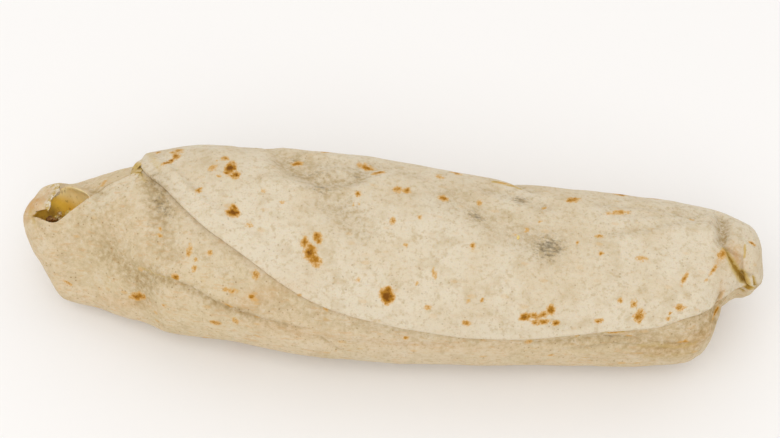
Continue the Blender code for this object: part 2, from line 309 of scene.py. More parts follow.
def seam_angle(x):
    """Ring angle of the seam: the folded edge, then the flap's edge from its corner on."""
    share = ramp(x, CORNER - CORNER_BLEND, CORNER + CORNER_BLEND)
    return np.radians(through(x, FOLD_EDGE) * (1.0 - share) + through(x, FLAP_EDGE) * share)


def eased(x, values, reach=6.0):
    """Values along the columns, averaged over a few millimetres each way."""
    weights = bell(x - x.T, reach) * np.gradient(x[:, 0])[None, :]
    return (weights @ values) / weights.sum(axis=1, keepdims=True)


def seam_away(x):
    """The direction across the seam towards the front, in the unrolled sheet."""
    step = 0.8
    turn = (seam_angle(x + step) - seam_angle(x - step)) / (2.0 * step)
    y, z = axis(x)
    slope = turn * radius(x, seam_angle(x), y, z, ROLL)
    size = np.hypot(1.0, slope)
    return -slope / size, 1.0 / size


def stations():
    """Places of the columns along the roll, close together where the shape turns quickly."""
    x = np.linspace(LEFT_TIP, RIGHT_TIP, COLUMN_TRIALS)
    spacing = np.interp(x, COLUMN_SPACING[:, 0], COLUMN_SPACING[:, 1])
    from_tip = np.minimum(x - LEFT_TIP, RIGHT_TIP - x)
    spacing = np.minimum(spacing, TIP_SPACING[0] + TIP_SPACING[1] * np.sqrt(from_tip))
    steps = np.cumsum((x[1] - x[0]) / spacing)
    steps -= steps[0]
    return np.interp(np.arange(int(steps[-1])) + 0.5, steps, x)[:, None]


def outward(angle):
    return np.stack([np.zeros_like(angle), np.cos(angle), np.sin(angle)], axis=-1)


def corner_cut(points):
    """One round of corner cutting along the second axis, with the ends kept."""
    near = 0.75 * points[:, :-1] + 0.25 * points[:, 1:]
    far = 0.25 * points[:, :-1] + 0.75 * points[:, 1:]
    between = np.stack([near, far], axis=2).reshape(len(points), -1, points.shape[-1])
    return np.concatenate([points[:, :1], between, points[:, -1:]], axis=1)


def soft_noise(points, size, seed):
    """Smooth noise from -1 to 1 with features of about `size`, the same for the same seed."""
    count = 48  # points of the lattice each way, before it repeats
    lattice = np.random.default_rng(seed).uniform(-1.0, 1.0, (count, count, count))
    place = points / size + 700.0
    cell = np.floor(place).astype(int)
    t = smooth(place - cell)
    total = np.zeros(points.shape[:-1])
    for corner in np.ndindex(2, 2, 2):
        weight = np.ones(points.shape[:-1])
        for k in range(3):
            weight = weight * (t[..., k] if corner[k] else 1.0 - t[..., k])
        index = (cell + np.array(corner)) % count
        total += weight * lattice[index[..., 0], index[..., 1], index[..., 2]]
    return total


def rough(points, *layers):
    """Several soft noises together. Each is given by its height, size and seed."""
    return sum(height * soft_noise(points, size, seed) for height, size, seed in layers)


def turned(angle, degrees):
    """How far round a ring angle is from one in degrees, at most half a turn either way."""
    return (angle - math.radians(degrees) + math.pi) % TURN - math.pi


def layer_lift(x, front_side, distance, turn):
    """How far a layer lies above the plain roll: the flap's step, and the fold's on its left."""
    into = np.clip((x - CORNER + CORNER_BLEND) / FLAP_ROUND, 0.0, 1.0)
    end = np.sqrt(1.0 - (1.0 - into) ** 2)
    flap = FLAP_THICKNESS * (1.0 - smooth(turn / FLAP_FADE)) * end
    near = bell(distance, FOLD_REACH) * ramp(x, *FOLD_STARTS)
    raised = FOLD_LIFT * near * (1.0 - ramp(x, *FOLD_STOPS))
    raised = raised + FRONT_RISE * bell(distance, FRONT_REACH) * ramp(x, *FRONT_SWELL)
    dropped = -FOLD_DROP * near * (1.0 - end)
    return np.where(front_side, raised, dropped + flap)


def edge_strip(x, r):
    """The strip across the seam: the rounded edge of whichever layer is on top."""
    flap = corner_cut(corner_cut(EDGE_PROFILE[None]))[0]
    fold = np.stack([-flap[::-1, 0], 1.0 - flap[::-1, 1]], axis=-1)
    share = ramp(x, CORNER - CORNER_BLEND, CORNER + CORNER_BLEND)
    away = fold[None, :, 0] * (1.0 - share) + flap[None, :, 0] * share
    rise = fold[None, :, 1] * (1.0 - share) + flap[None, :, 1] * share
    front = layer_lift(x, True, 0.0, 1.0)
    back = layer_lift(x, False, 0.0, 0.0)
    stepped = np.clip(np.abs(front - back) / STEP_LEAST, 0.0, 1.0)
    even = np.linspace(STRIP_HALF, -STRIP_HALF, len(flap))[None, :]
    away = even * (1.0 - stepped) + away * stepped
    along, around = seam_away(x)
    along = along * smooth(np.minimum(x - LEFT_TIP, RIGHT_TIP - x) / TIP_CALM)
    angle = seam_angle(x) + around * away / r
    # The lowest third of the profile follows the lower layer.
    lower = np.clip(1.0 - 3.0 * rise, 0.0, 1.0) * share * (1.0 - ramp(x, *BELLY_TUCK))
    return skin(x + along * away, angle, front + (back - front) * rise, lower), angle, rise


def pocket_strip(x, r):
    """The strip where the pocket's mouth is open: over the front rim, down, and up to the back rim."""
    opening = np.radians(through(x, MOUTH))
    seam = seam_angle(x)
    front_lift = layer_lift(x, True, 0.0, 1.0)
    back_lift = layer_lift(x, False, 0.0, 0.0)
    front = skin(x, seam, front_lift)
    back = skin(x, seam - opening, back_lift)
    centre = seam - opening / 2.0
    up = outward(centre)
    across = np.stack([0.0 * centre, -np.sin(centre), np.cos(centre)], axis=-1)
    t = np.clip((x - MOUTH_ENDS[0]) / (MOUTH_ENDS[1] - MOUTH_ENDS[0]), 0.0, 1.0)
    depth = POCKET_DEPTH * (1.0 - np.abs(2.0 * t - 1.0) ** POCKET_FULLNESS)[..., None]
    deep = -up * depth + np.array([1.0, 0.0, 0.0]) * POCKET_RUN * depth / POCKET_DEPTH
    widening = smooth(depth / (0.5 * POCKET_DEPTH))
    before, rim_rise = RIM_START
    route = [
        skin(x, seam + STRIP_HALF / r, front_lift),
        skin(x, seam + before / r, front_lift + rim_rise),
    ]
    for share, shift, deep_shift, rise, sunk in POCKET_ROUTE:
        rim = front * (1.0 - share) + back * share
        route.append(rim + across * (shift + deep_shift * widening) + up * rise + deep * sunk)
    route.append(skin(x, seam - opening - STRIP_HALF / r, back_lift))
    return corner_cut(corner_cut(np.concatenate(route, axis=1)))


class Sheet:
    """The rolled tortilla as rings of points, with what the looks need to know at each point."""

    def __init__(self):
        x = stations()
        y, z = axis(x)
        r = radius(x, seam_angle(x), y, z, ROLL)
        gap = (STRIP_HALF + STRIP_MARGIN) / seam_away(x)[1] / r
        opening = np.radians(through(x, MOUTH))
        turn = np.linspace(0.0, 1.0, ROWS)[None, :]
        turn = turn - ROW_CROWDING * np.sin(TURN * turn)
        first = seam_angle(x) - opening - gap
        last = seam_angle(x) + gap - TURN
        first_eased = eased(x, first)
        last_eased = eased(x, last)
        angle = first_eased + (last_eased - first_eased) * turn
        angle = angle + (first - first_eased) * (1.0 - smooth(turn / SEAM_HOLD))
        angle = angle + (last - last_eased) * (1.0 - smooth((1.0 - turn) / SEAM_HOLD))
        distance = np.minimum(first - angle, angle - last) * r
        lift = layer_lift(x, turn > 0.5, distance, turn)
        tucked = ramp(x, *BELLY_TUCK) * (1.0 - smooth(distance / TUCK_REACH))
        below = ramp(turn, *LAYER_CHANGE)
        behind = ramp(turn, *LEAN_RISES) * (1.0 - ramp(turn, *LEAN_FALLS))
        near_corner = 1.0 - smooth(np.abs(x - CORNER) / CORNER_REACH)
        lean = CORNER_LEAN * behind * near_corner
        regular = skin(x + lean, angle, lift, below * (1.0 - tucked))

        edge, edge_angle, rise = edge_strip(x, r)
        inside = (x > MOUTH_ENDS[0]) & (x < MOUTH_ENDS[1])
        t = (x - MOUTH_ENDS[0]) / (MOUTH_ENDS[1] - MOUTH_ENDS[0])
        is_open = np.where(inside, smooth(np.minimum(t, 1.0 - t) / MOUTH_BLEND), 0.0)
        strip = edge * (1.0 - is_open[..., None]) + pocket_strip(x, r) * is_open[..., None]

        count = strip.shape[1]
        self.points = np.concatenate([regular, strip], axis=1)
        self.x = np.concatenate([x + lean, np.broadcast_to(x, (len(x), count))], axis=1)
        self.angle = np.concatenate([angle, edge_angle], axis=1)
        axis_y, axis_z = axis(self.x)
        from_axis = np.hypot(self.points[..., 1] - axis_y, self.points[..., 2] - axis_z)
        self.radius = np.maximum(from_axis, LEAST_RADIUS)
        self.from_seam = np.concatenate([distance, np.zeros_like(edge_angle)], axis=1)
        self.rank = np.concatenate([turn + 0.0 * x, 1.0 - rise], axis=1)
        self.below = np.concatenate([below + 0.0 * x, 1.0 - rise], axis=1)
        self.on_flap = (1.0 - self.below) * (x > CORNER)
        self.add_strip_looks(x, np.linspace(-1.0, 1.0, count)[None, :], is_open)

    def add_strip_looks(self, x, place, is_open):
        """How open the pocket is, how light its walls are painted, with painted shade deeper in the pocket,
        and the painted shade of the crevice at the foot of each edge.
        """
        at_back = place > 0.0
        rim = np.where(at_back, ramp(place, *BACK_RIM), ramp(-place, *FRONT_RIM))
        front_wall = FRONT_WALL_LIGHT * ramp(-place, *FRONT_WALL)
        # Painted shade: darker deeper in the pocket and towards its left end.
        painted_wall_light = np.where(at_back, ramp(place, *BACK_WALL), front_wall) * (0.05 + 0.95 * ramp(x, *LEFT_END_SHADE))
        crevice_place, crevice_half = CREVICE
        from_crevice = place + crevice_place * np.where(x < CORNER, -1.0, 1.0)
        regular = np.ones((len(x), ROWS))
        self.pocket = np.concatenate([0.0 * regular, is_open * (1.0 - rim)], axis=1)
        self.painted_wall_light = np.concatenate([regular, painted_wall_light], axis=1)
        # Painted shade: a dark line in the crevice at the foot of the edge.
        crevice_shade = bell(from_crevice, crevice_half) * (1.0 - is_open)
        self.crevice_shade = np.concatenate([0.0 * regular, crevice_shade], axis=1)

    def nearby(self, place, length, width, tilt=0.0):
        """Distance from a place of the sheet in units of an ellipse, tilted from along the roll."""
        x, angle = place
        along = self.x - x
        around = turned(self.angle, angle) * self.radius
        cos = math.cos(math.radians(tilt))
        sin = math.sin(math.radians(tilt))
        return np.hypot((along * cos + around * sin) / length, (around * cos - along * sin) / width)


# Creases: a route of x and ring angle, half width and depth. A negative depth is a ridge.
CREASES = (
    (((-46.6, 78), (-43.6, 105), (-41.5, 131)), 3.0, 0.7),
    (((-54.5, 128), (-50.8, 141), (-47.6, 154), (-47.4, 168)), 3.6, 0.9),
    (((-23.3, 44), (-17.1, 52), (-9.1, 50), (-4.1, 45)), 2.0, 0.5),
    (((-22.8, 37), (-16.2, 44), (-8.2, 45)), 1.6, -0.4),
    (((-22.2, 53), (-19.1, 62), (-14.1, 68), (-8.1, 66), (-5.6, 56)), 2.3, 0.9),
    (((-24.1, 76), (-17.1, 77), (-9.0, 76), (-5.6, 70)), 1.5, -0.45),
    (((-12.6, 85), (-8.1, 94), (-5.1, 105)), 3.6, 0.6),
    (((-3.5, 46), (0.5, 49), (4.5, 48)), 2.4, 0.35),
    (((10.0, 66), (17.0, 81), (24.0, 90), (31.1, 101)), 4.5, 0.55),
    (((18.0, 51), (25.0, 59), (30.0, 63)), 2.0, 0.45),
    (((22.0, 28), (25.6, 38), (27.5, 44)), 1.5, 0.7),
    (((41.8, 86), (48.7, 78), (52.6, 72), (58.7, 59), (63.8, 59)), 1.1, 0.35),
    (((44.1, 91), (50.1, 84), (56.1, 74), (60.2, 67)), 1.6, -0.25),
    (((40.9, 55), (48.8, 52), (56.6, 53), (62.3, 47)), 1.0, 0.3),
    (((44.0, 66), (52.0, 62), (60.0, 52)), 0.8, 0.2),
    (((65.3, 36), (65.2, 58), (65.0, 86)), 1.3, 1.25),
    (((62.1, 48), (62.3, 67), (62.8, 85)), 1.5, -0.45),
    (((64.9, 88), (66.8, 91), (69.1, 98), (69.9, 103)), 0.6, -0.4),
    (((69.6, 142), (71.9, 145), (72.4, 159), (73.0, 176)), 0.45, 0.5),
    (((-11.6, 171), (-9.8, 176), (-7.6, 182)), 0.5, 0.35),
    (((67.4, 172), (68.2, 180), (70.1, 190), (70.9, 196)), 0.5, 0.5),
    (((64.6, 146), (64.2, 157), (64.4, 166), (65.8, 184)), 0.5, 0.45),
    (((63.4, 148), (63.1, 158), (63.3, 168)), 0.8, -0.3),
    (((-36.1, 130), (-22.0, 152), (-8.0, 161), (8.0, 165)), 1.5, 0.25),
    (((30.0, 168), (42.4, 160), (48.2, 161), (54.1, 165), (60.0, 171)), 0.9, 0.45),
    (((36.0, 173), (45.0, 167), (52.0, 170), (58.0, 176)), 0.8, 0.35),
    (((50.0, 157), (56.0, 158), (62.1, 165)), 0.9, 0.35),
    (((-22.0, 170), (-12.0, 172), (2.0, 173), (14.0, 171)), 1.4, 0.3),
    (((-69.9, 121), (-65.8, 121), (-62.1, 115)), 1.5, 0.25),
    (((-59.5, 74), (-58.2, 82), (-57.6, 86)), 1.2, 0.45),
    (((-64.5, 58), (-63.0, 68), (-61.6, 76)), 1.3, 0.4),
    (((-30.0, 30.0), (-8.0, 22.0), (14.0, 24.0), (38.0, 14.0)), 3.0, 0.5),
    (((-44.0, 4.0), (-20.0, -8.0), (6.0, -4.0)), 2.6, 0.45),
    (((12.0, -14.0), (34.0, -20.0), (55.0, -8.0)), 2.2, 0.4),
)
CREASE_DEPTH = 1.25

# Dents and swellings of the ends: x, ring angle, reach and height.
END_SHAPES = (
    (-62.6, 62.0, 4.2, -0.45), (-67.4, 56.0, 2.8, 0.85), (-70.6, 66.0, 2.6, -0.9),
    (73.93, 92.0, 1.1, -0.8), (73.6, 185.0, 1.6, 0.5),
    (66.8, 189.0, 3.8, -2.9),
)

# The long fold in the lower layer, whose upper side hangs over its lower side: x and ring angle, then
# where it begins and ends, and the height and reach of its two sides.
FOLD_LINE = np.array([
    (-47.5, 142.0), (-43.8, 143.5), (-40.0, 145.5), (-36.0, 150.0), (-32.0, 156.0), (-28.5, 159.0),
    (-25.1, 161.0), (-20.1, 162.5), (-15.3, 163.5), (-9.0, 166.0),
])
FOLD_BEGINS = (-49.0, -41.0)
FOLD_ENDS = (-24.0, -9.0)
FOLD_ABOVE = (0.45, 2.6)
FOLD_BELOW = (-0.6, 1.7)
FOLD_TURN = 0.25
# Painted shade under the fold's overhang:
FOLD_SHADE = (0.5, 1.2)     # distance below the line, and reach

# The tucked end: the slit beside the flap, and the right edge of the sheet tucked in behind it. Each
# row is ring angle and x. The inner fold's rows are x and ring angle.
SLIT = np.array([(85.0, 64.7), (105.0, 65.7), (134.0, 67.8), (157.0, 69.7), (184.0, 71.5)])
TUCKED_EDGE = np.array([
    (85.0, 64.9), (90.0, 67.4), (98.0, 69.1), (106.0, 69.3), (121.0, 69.2), (136.0, 69.4),
    (157.0, 70.4), (184.0, 71.7),
])
INNER_FOLD = np.array([(64.8, 90.0), (66.0, 97.0), (68.0, 114.0), (69.4, 120.0)])
SLIT_DEPTH = 1.7
SLIT_BEGINS = (85.0, 94.0)
SLIT_ENDS = (145.0, 176.0)
SLIT_LEFT = (-0.15, 0.3)   # where its walls stand, from the slit's line and from the tucked edge
SLIT_RIGHT = (-0.35, 0.1)
SLIT_LIP = (0.35, 0.7, 0.6)  # height, distance to the left of the slit, and reach

# Noise in the roll's surface: height, size and seed.
BROAD_WAVES = ((0.3, 12.0, 1), (0.16, 5.0, 2))
FINE_WAVES = (0.07, 2.0, 3)
GRAIN = (0.035, 0.9, 4)
LONG_WRINKLES = (0.2, 1.1, 5)
RIM_RIDGE = (0.38, 1.3, 1.1)  # height, distance from the flap's edge and reach
RIM_DIP = (0.30, 3.8, 1.3)
RIM_BEGINS = (-50.0, -47.0)
RIM_ENDS = (-12.0, 14.0)
QUIET_CORNER = (0.15, 0.6, 2.2)  # share of the fine waves that is left at the corner, and its reach
WRINKLED_FROM = (20.0, 45.0)  # where along the lower layer its long wrinkles begin,
WRINKLED_BELOW = (148.0, 160.0)  # and at which ring angles

# How dark the low places are painted: painted shade in the creases, the long fold, the crevices, behind the
# folded edge, under the flap's edge and in the slit, with some soil.
FOLD_SHADE_STRENGTH = 1.15
# Painted shadow on the back layer, just behind the folded edge of the front layer.
SHADOW_BEHIND_FOLD = (1.6, 0.5, 1.0)  # strength, distance from the folded edge and reach
SHADOW_BEHIND_FOLD_BEGINS = (-62.0, -57.0)
# Painted shadow on the layer under the flap, along the flap's edge, stronger at the right end.
SHADOW_BEFORE_FLAP = (0.38, 0.55, 2.2)  # strength, what the right end has on top of it, and reach
RIGHT_END = (54.0, 61.0)
SHADE_AND_SOIL_SHARES = (0.75, 0.45, 0.1)  # of the low places, the crevice and what is tucked in

# Paler places: beside the flap's left part; in the middle of the front, a painted light as if thrown up
# from the floor; and along the rounded edges, a painted highlight.
PALER_LEFT = ((-54.0, -48.0), (-34.0, -16.0), 9.0)
# Painted light on the middle of the front, as if thrown up from the floor:
PAINTED_BOUNCE_LIGHT = (0.7, 4.0, 16.0)  # strength, x and reach
# Painted highlight along the rounded edges:
HIGHLIGHT_BAND = (1.6, 1.2)          # width and how far it fades out

# Toasted marks: x, ring angle, half length, half width, tilt from along the roll, and strength.
MARKS = (
    (-47.7, 48, 0.44, 0.8, 0, 0.6), (-43.3, 55, 0.84, 0.9, 0, 0.9), (-44.2, 59, 0.53, 0.6, 30, 0.8),
    (-44.9, 64, 0.42, 1.5, 25, 0.85), (-43.6, 48, 1.21, 1.2, 0, 0.28), (-37.3, 87, 0.5, 1.1, 20, 0.6),
    (-31.8, 67, 0.9, 1.9, 0, 1.05), (-30.6, 73, 0.8, 1, 20, 0.9), (-33.4, 58, 0.63, 0.75, 20, 0.7),
    (-35.3, 68, 0.95, 0.75, -40, 0.58), (-33.6, 75, 0.5, 0.4, 0, 0.43), (-34.8, 61, 0.42, 0.45, 0, 0.38),
    (-29.9, 100, 1.05, 1.05, 0, 1.15), (-26.3, 108, 0.8, 0.5, -30, 0.33),
    (-19.3, 52, 1.1, 0.8, 30, 0.85), (-14, 38, 0.99, 0.8, -50, 0.48), (-14.5, 42, 0.44, 0.6, 0, 0.38),
    (-5.7, 47, 1.54, 0.8, 0, 0.65), (-3, 53, 1.26, 0.6, -15, 0.75), (-6.5, 78, 0.6, 0.6, 0, 0.58),
    (-5.8, 84, 0.3, 0.3, 0, 0.43), (-6.9, 85, 0.25, 0.25, 0, 0.38), (-13, 111, 0.9, 0.9, 0, 0.75),
    (-15.3, 115, 0.6, 1.2, -20, 0.8), (-14.1, 121, 1.0, 1.3, 40, 1.0),
    (-13, 125, 1.2, 0.91, 25, 0.7), (-4.4, 133, 0.4, 0.52, 0, 0.48), (1.2, 69, 0.84, 1.05, 0, 0.43),
    (3.1, 68, 0.63, 0.9, 0, 0.75), (10.2, 70, 0.84, 0.75, 0, 0.85), (9.1, 48, 0.88, 0.6, 15, 0.43),
    (12.3, 38, 1.1, 1, 40, 0.43), (17.4, 69, 0.53, 0.75, 0, 0.33), (0.9, 95, 0.5, 0.8, 0, 0.58),
    (6.2, 90, 0.5, 0.6, 0, 0.48), (3.8, 111, 0.45, 0.45, 0, 0.38), (16.8, 106, 0.5, 0.8, -10, 0.6),
    (9.9, 125, 0.35, 1.04, -10, 0.6), (1.2, 140, 1.15, 1.2, 0, 1.35), (9.1, 143, 0.6, 0.52, 0, 0.6),
    (6.7, 131, 0.4, 0.52, 0, 0.28), (16.7, 151, 0.8, 0.52, 20, 0.6), (19.2, 137, 0.4, 0.39, 0, 0.48),
    (16.6, 139, 0.4, 0.39, 30, 0.38), (27.6, 146, 0.9, 0.75, 0, 0.95), (29.4, 145, 0.9, 0.6, 0, 0.75),
    (31.0, 143.5, 0.9, 0.55, -10, 0.7), (32.4, 141, 0.8, 0.8, -20, 0.9),
    (31.3, 148, 1.1, 0.5, 0, 0.7), (33.4, 149, 0.6, 0.55, 0, 0.9), (29.5, 149, 0.9, 0.45, 10, 0.6),
    (26.9, 87, 0.6, 0.3, 0, 0.53), (24.6, 92, 0.5, 0.4, 0, 0.33), (35.5, 56, 1.47, 0.9, -25, 0.6),
    (44.5, 64, 2.31, 0.6, -20, 0.43), (42.7, 67, 1.26, 0.45, -10, 0.38), (40.8, 88, 0.8, 0.4, 0, 0.6),
    (36.5, 95, 0.4, 0.4, 0, 0.38), (41.2, 103, 0.6, 0.4, -10, 0.48), (30, 66, 0.42, 0.45, 0, 0.38),
    (29.4, 80, 0.35, 0.3, 0, 0.38), (45.5, 134, 0.6, 0.59, -20, 0.48), (48.1, 135, 0.5, 0.78, 0, 0.53),
    (49.4, 143, 1.15, 0.98, 0, 0.65), (41.8, 146, 0.9, 0.45, 0, 0.65),
    (57.1, 138, 1.1, 0.65, 15, 0.58), (57.7, 118, 0.45, 1.3, 20, 0.7),
    (63.1, 116, 0.9, 0.6, -40, 0.48), (64.8, 105, 1.1, 0.9, -50, 0.53),
    (61.7, 122, 0.4, 0.4, 0, 0.38), (58.9, 57, 0.53, 0.3, 0, 0.33), (49.3, 105, 1.2, 0.6, 0, 0.2),
    (70.9, 94, 0.8, 0.35, 10, 0.58), (55.3, 141, 0.2, 0.2, 0, 0.58), (55.1, 145, 0.2, 0.2, 0, 0.53),
    (-24.6, 83, 0.5, 0.25, 20, 0.33), (-20.6, 90, 0.5, 0.3, 30, 0.28),
    (-48.5, 166, 1.45, 0.98, 0, 0.9), (-42.5, 166, 0.6, 0.39, -30, 0.48),
    (-63.6, 163, 0.8, 0.33, 20, 0.43), (-44, 117, 0.3, 0.3, 0, 0.6),
    (-44.2, 113, 0.25, 0.2, 0, 0.43), (-37.5, 125, 0.3, 0.91, -10, 0.38),
    (-38, 128, 0.3, 0.78, -10, 0.43), (-36.4, 132, 0.4, 0.39, 0, 0.43),
    (-36.5, 137, 0.4, 0.78, 0, 0.6), (-39.8, 144, 0.7, 0.52, 20, 1),
    (-33.4, 127, 0.5, 0.59, 0, 0.6), (-24, 137, 0.7, 0.91, 0, 0.58),
    (-29, 148, 1.5, 0.45, -10, 0.43), (-24.7, 150, 0.8, 0.52, 15, 0.7),
    (-29.2, 158, 0.8, 0.33, 15, 0.6), (-32.1, 174, 0.9, 0.65, 15, 0.7),
    (-28.1, 169, 0.6, 0.91, 0, 0.33), (-10.1, 151, 0.5, 0.52, 0, 0.48),
    (-15.3, 144, 0.35, 0.45, 0, 0.48), (5.3, 166, 0.6, 0.52, 0, 0.58), (37.8, 160, 0.4, 0.2, 0, 0.43),
    (28.9, 166, 0.65, 0.65, 0, 0.6), (33.5, 180, 0.5, 0.39, 0, 0.48), (47.9, 159, 0.5, 0.39, 0, 0.43),
    (58.5, 167, 0.9, 0.52, 10, 0.58), (-54.3, 77, 0.7, 0.4, -10, 0.48), (-57.9, 71, 0.42, 1.2, 10, 0.28),
    (64.6, 165, 0.5, 0.5, 0, 0.95), (44.8, 155.5, 1.3, 0.25, 0, 0.55), (22.4, 43, 2.2, 0.25, 0, 0.45),
)
MARK_SPREAD = 1.85         # how far a mark fades out, in its own half lengths
MARK_LEAST = 0.34
MARK_SIZE = 0.88
MARK_WANDER = (0.3, 1.8)   # how far their outlines wander, and the size of the wandering
MEAN_RADIUS = 15.0         # of the roll, for turning a mark's millimetres into degrees
SCATTER = 90               # marks on the back and underneath, where no view was to follow
SCATTER_ENDS = (-66.0, 70.0)
SCATTER_ANGLES = (-165.0, 34.0)

# Grey, greasy patches: x, ring angle, half length, half width, tilt, strength.
PATCHES = (
    (-44.3, 95, 2.6, 4.2, -18, 0.9), (-46.6, 76, 1.6, 2.2, 0, 0.5), (-16.2, 62, 7.5, 2.0, -12, 0.6),
    (-13.6, 76, 4.2, 1.3, 0, 0.8), (-19.7, 47, 3.2, 1.2, -40, 0.6), (-7.1, 58, 1.6, 2.6, 0, 0.5),
    (-8.6, 90, 4.5, 4.0, 0, 0.4), (16.8, 82, 2.4, 1.2, 35, 1.0), (12.5, 60, 2.5, 1.6, 20, 0.35),
    (25.2, 60, 1.7, 1.5, 10, 1.2), (31.3, 102, 2.7, 2.5, -20, 1.0), (30.0, 94, 5.5, 4.5, 0, 0.4),
    # The patch at x -46.0, ring angle 149 is also painted shade, where the panel lies in shadow.
    (44.4, 160, 2.4, 0.7, 0, 0.9), (36.0, 165, 4.0, 1.0, 0, 0.4), (-46.0, 149, 3.5, 2.6, 0, 0.5),
    (44.1, 120, 4.0, 3.0, 0, 0.25), (1.9, 81, 5.0, 3.0, 0, 0.2), (22.0, 10, 4.0, 3.0, 20, 0.5),
    (-24.0, -20, 5.0, 2.5, -10, 0.5), (48.0, -40, 4.0, 3.0, 0, 0.4), (-6.0, -75, 6.0, 4.0, 0, 0.4),
)

# Broad darker areas of the lower layer, in the same order: partly brownish tone, partly painted shade in
# its hollows and under the flap.
BROWN_AND_SHADE_AREAS = (
    (-57.0, 106, 9.0, 6.0, 0, 0.50), (-46.5, 148, 4.0, 2.8, 0, 0.45), (-45.0, 104, 2.0, 8.0, -8, 0.35),
    (-24.0, 157, 10.0, 2.2, -8, 0.42), (57.0, 175, 9.0, 3.6, 0, 1.0),
    (46.0, 166, 8.0, 1.8, 0, 0.5), (62.6, 164, 2.4, 1.6, 0, 0.7), (64.4, 158, 0.7, 4.5, 0, 0.7),
    (-70.5, 118, 1.6, 4.0, 0, 0.4), (65.2, 70, 0.8, 5.0, 0, 0.6),
    (67.5, 78, 2.4, 4.0, 0, 0.35), (58.0, 48, 7.0, 2.5, 0, 0.3), (-60.0, 140, 7.0, 4.0, 0, 0.12),
)

# Pinkish or orange tints, in the same order.
TINTS = (
    (-70.8, 81, 1.9, 2.0, 0, 0.9), (-71.6, 95, 1.6, 2.6, 0, 0.7), (-60.5, 82, 1.7, 0.6, -20, 0.9),
    (-63.5, 70, 2.2, 1.2, -20, 0.5), (-54.5, 77, 0.8, 0.5, -20, 1.0), (-57.0, 74, 2.0, 1.6, 0, 0.4),
    (67.7, 116, 1.2, 3.2, -20, 0.9), (64.9, 152, 0.7, 3.0, 0, 0.9), (60.5, 170, 4.5, 2.0, 0, 0.7),
    (54.0, 174, 5.0, 1.6, 0, 0.5), (-24.0, 150, 7.0, 2.0, -25, 0.5), (-16.0, 168, 8.0, 1.6, 0, 0.4),
    (-50.0, 172, 6.0, 1.5, 0, 0.4), (8.0, 172, 14.0, 1.6, 0, 0.35), (64.6, 109, 1.5, 1.0, -40, 0.7),
)

# Golden, oily places: a route of x and ring angle, half width, strength.
OILY = (
    (((65.4, 98), (67.3, 126), (69.7, 152), (71.6, 176)), 0.6, 1.0),
    (((69.3, 140), (70.6, 156), (71.4, 174)), 0.7, 0.8),
    (((71.8, 147), (72.4, 159), (72.7, 172)), 0.3, 0.9),
    (((68.2, 179), (70.1, 190), (70.8, 196)), 0.35, 0.8),
    (((69.4, 103), (69.5, 112), (69.4, 120)), 0.25, 0.6),
    (((-50.9, 71), (-50.0, 70), (-49.0, 72)), 0.35, 1.0),
    (((-50.9, 70), (-48.4, 76)), 0.9, 0.4),
    (((-51.0, 54), (-50.8, 60), (-50.5, 68)), 0.45, 0.62),
    (((-50.0, 44), (-48.3, 58), (-46.2, 70)), 1.1, 0.28),
    (((19.8, 42), (22.5, 43), (25.2, 46)), 0.4, 0.9),
    (((-71.5, 104), (-71.2, 113), (-70.2, 124)), 1.0, 0.3),
    (((-68.6, 48), (-67.6, 60), (-67.2, 72)), 1.3, 0.35),
    (((-48.0, 141), (-43.8, 144), (-40.0, 146)), 0.3, 0.4),
    (((42.6, 154.5), (44.6, 154.5), (46.6, 154.5)), 0.35, 0.9),
    (((50.4, 169), (53.9, 169), (57.5, 173), (60.8, 171)), 0.9, 0.30),
    (((52.0, 181), (56.0, 182), (60.4, 181)), 1.3, 0.22),
)


def route_distance(sheet, route):
    """Distance over the sheet from each point to a line through the route's places."""
    nearest = np.full(sheet.x.shape, np.inf)
    for (x, angle), (next_x, next_angle) in zip(route[:-1], route[1:]):
        along = sheet.x - x
        around = turned(sheet.angle, angle) * sheet.radius
        run = next_x - x
        turn = math.radians(next_angle - angle) * sheet.radius
        t = np.clip((along * run + around * turn) / (run ** 2 + turn ** 2), 0.0, 1.0)
        nearest = np.minimum(nearest, np.hypot(along - t * run, around - t * turn))
    return nearest


def wrapped(angle, about):
    """The ring angle in degrees, in the turn centred on `about`."""
    return np.degrees(turned(angle, about)) + about


def fold_relief(sheet):
    """The long fold, raised above its line and pressed in below it, and the painted shade below its line.
    """
    angle = wrapped(sheet.angle, 150.0)
    below = np.radians(angle - through(sheet.x, FOLD_LINE)) * sheet.radius
    strength = ramp(sheet.x, *FOLD_BEGINS) * (1.0 - ramp(sheet.x, *FOLD_ENDS))
    upper, lower = [height * bell(below, reach) for height, reach in (FOLD_ABOVE, FOLD_BELOW)]
    height = upper + (lower - upper) * ramp(below, -FOLD_TURN, FOLD_TURN)
    return strength * height, strength * bell(below - FOLD_SHADE[0], FOLD_SHADE[1])


def tuck_relief(sheet):
    """The tucked end: a slit beside the flap, with the tucked sheet's slope rising to its edge."""
    angle = wrapped(sheet.angle, 125.0)
    start = through(angle, SLIT)
    end = through(angle, TUCKED_EDGE)
    from_start = sheet.x - start
    from_end = sheet.x - end
    across = np.clip(from_start / np.maximum(end - start, 0.3), 0.0, 1.0)
    along = ramp(angle, *SLIT_BEGINS) * (1.0 - ramp(angle, *SLIT_ENDS))
    walls = ramp(from_start, *SLIT_LEFT) * (1.0 - ramp(from_end, *SLIT_RIGHT))
    inner_fold = ramp(angle - through(sheet.x, INNER_FOLD), -3.0, 3.0)
    slope = (1.0 - 0.45 * across) * (0.45 + 0.55 * inner_fold)
    lip_height, lip_distance, lip_reach = SLIT_LIP
    lip = lip_height * along * bell(from_start + lip_distance, lip_reach)
    # The second value marks the inside of the slit, which is painted darker as shade.
    return lip - SLIT_DEPTH * along * walls * slope, along * walls


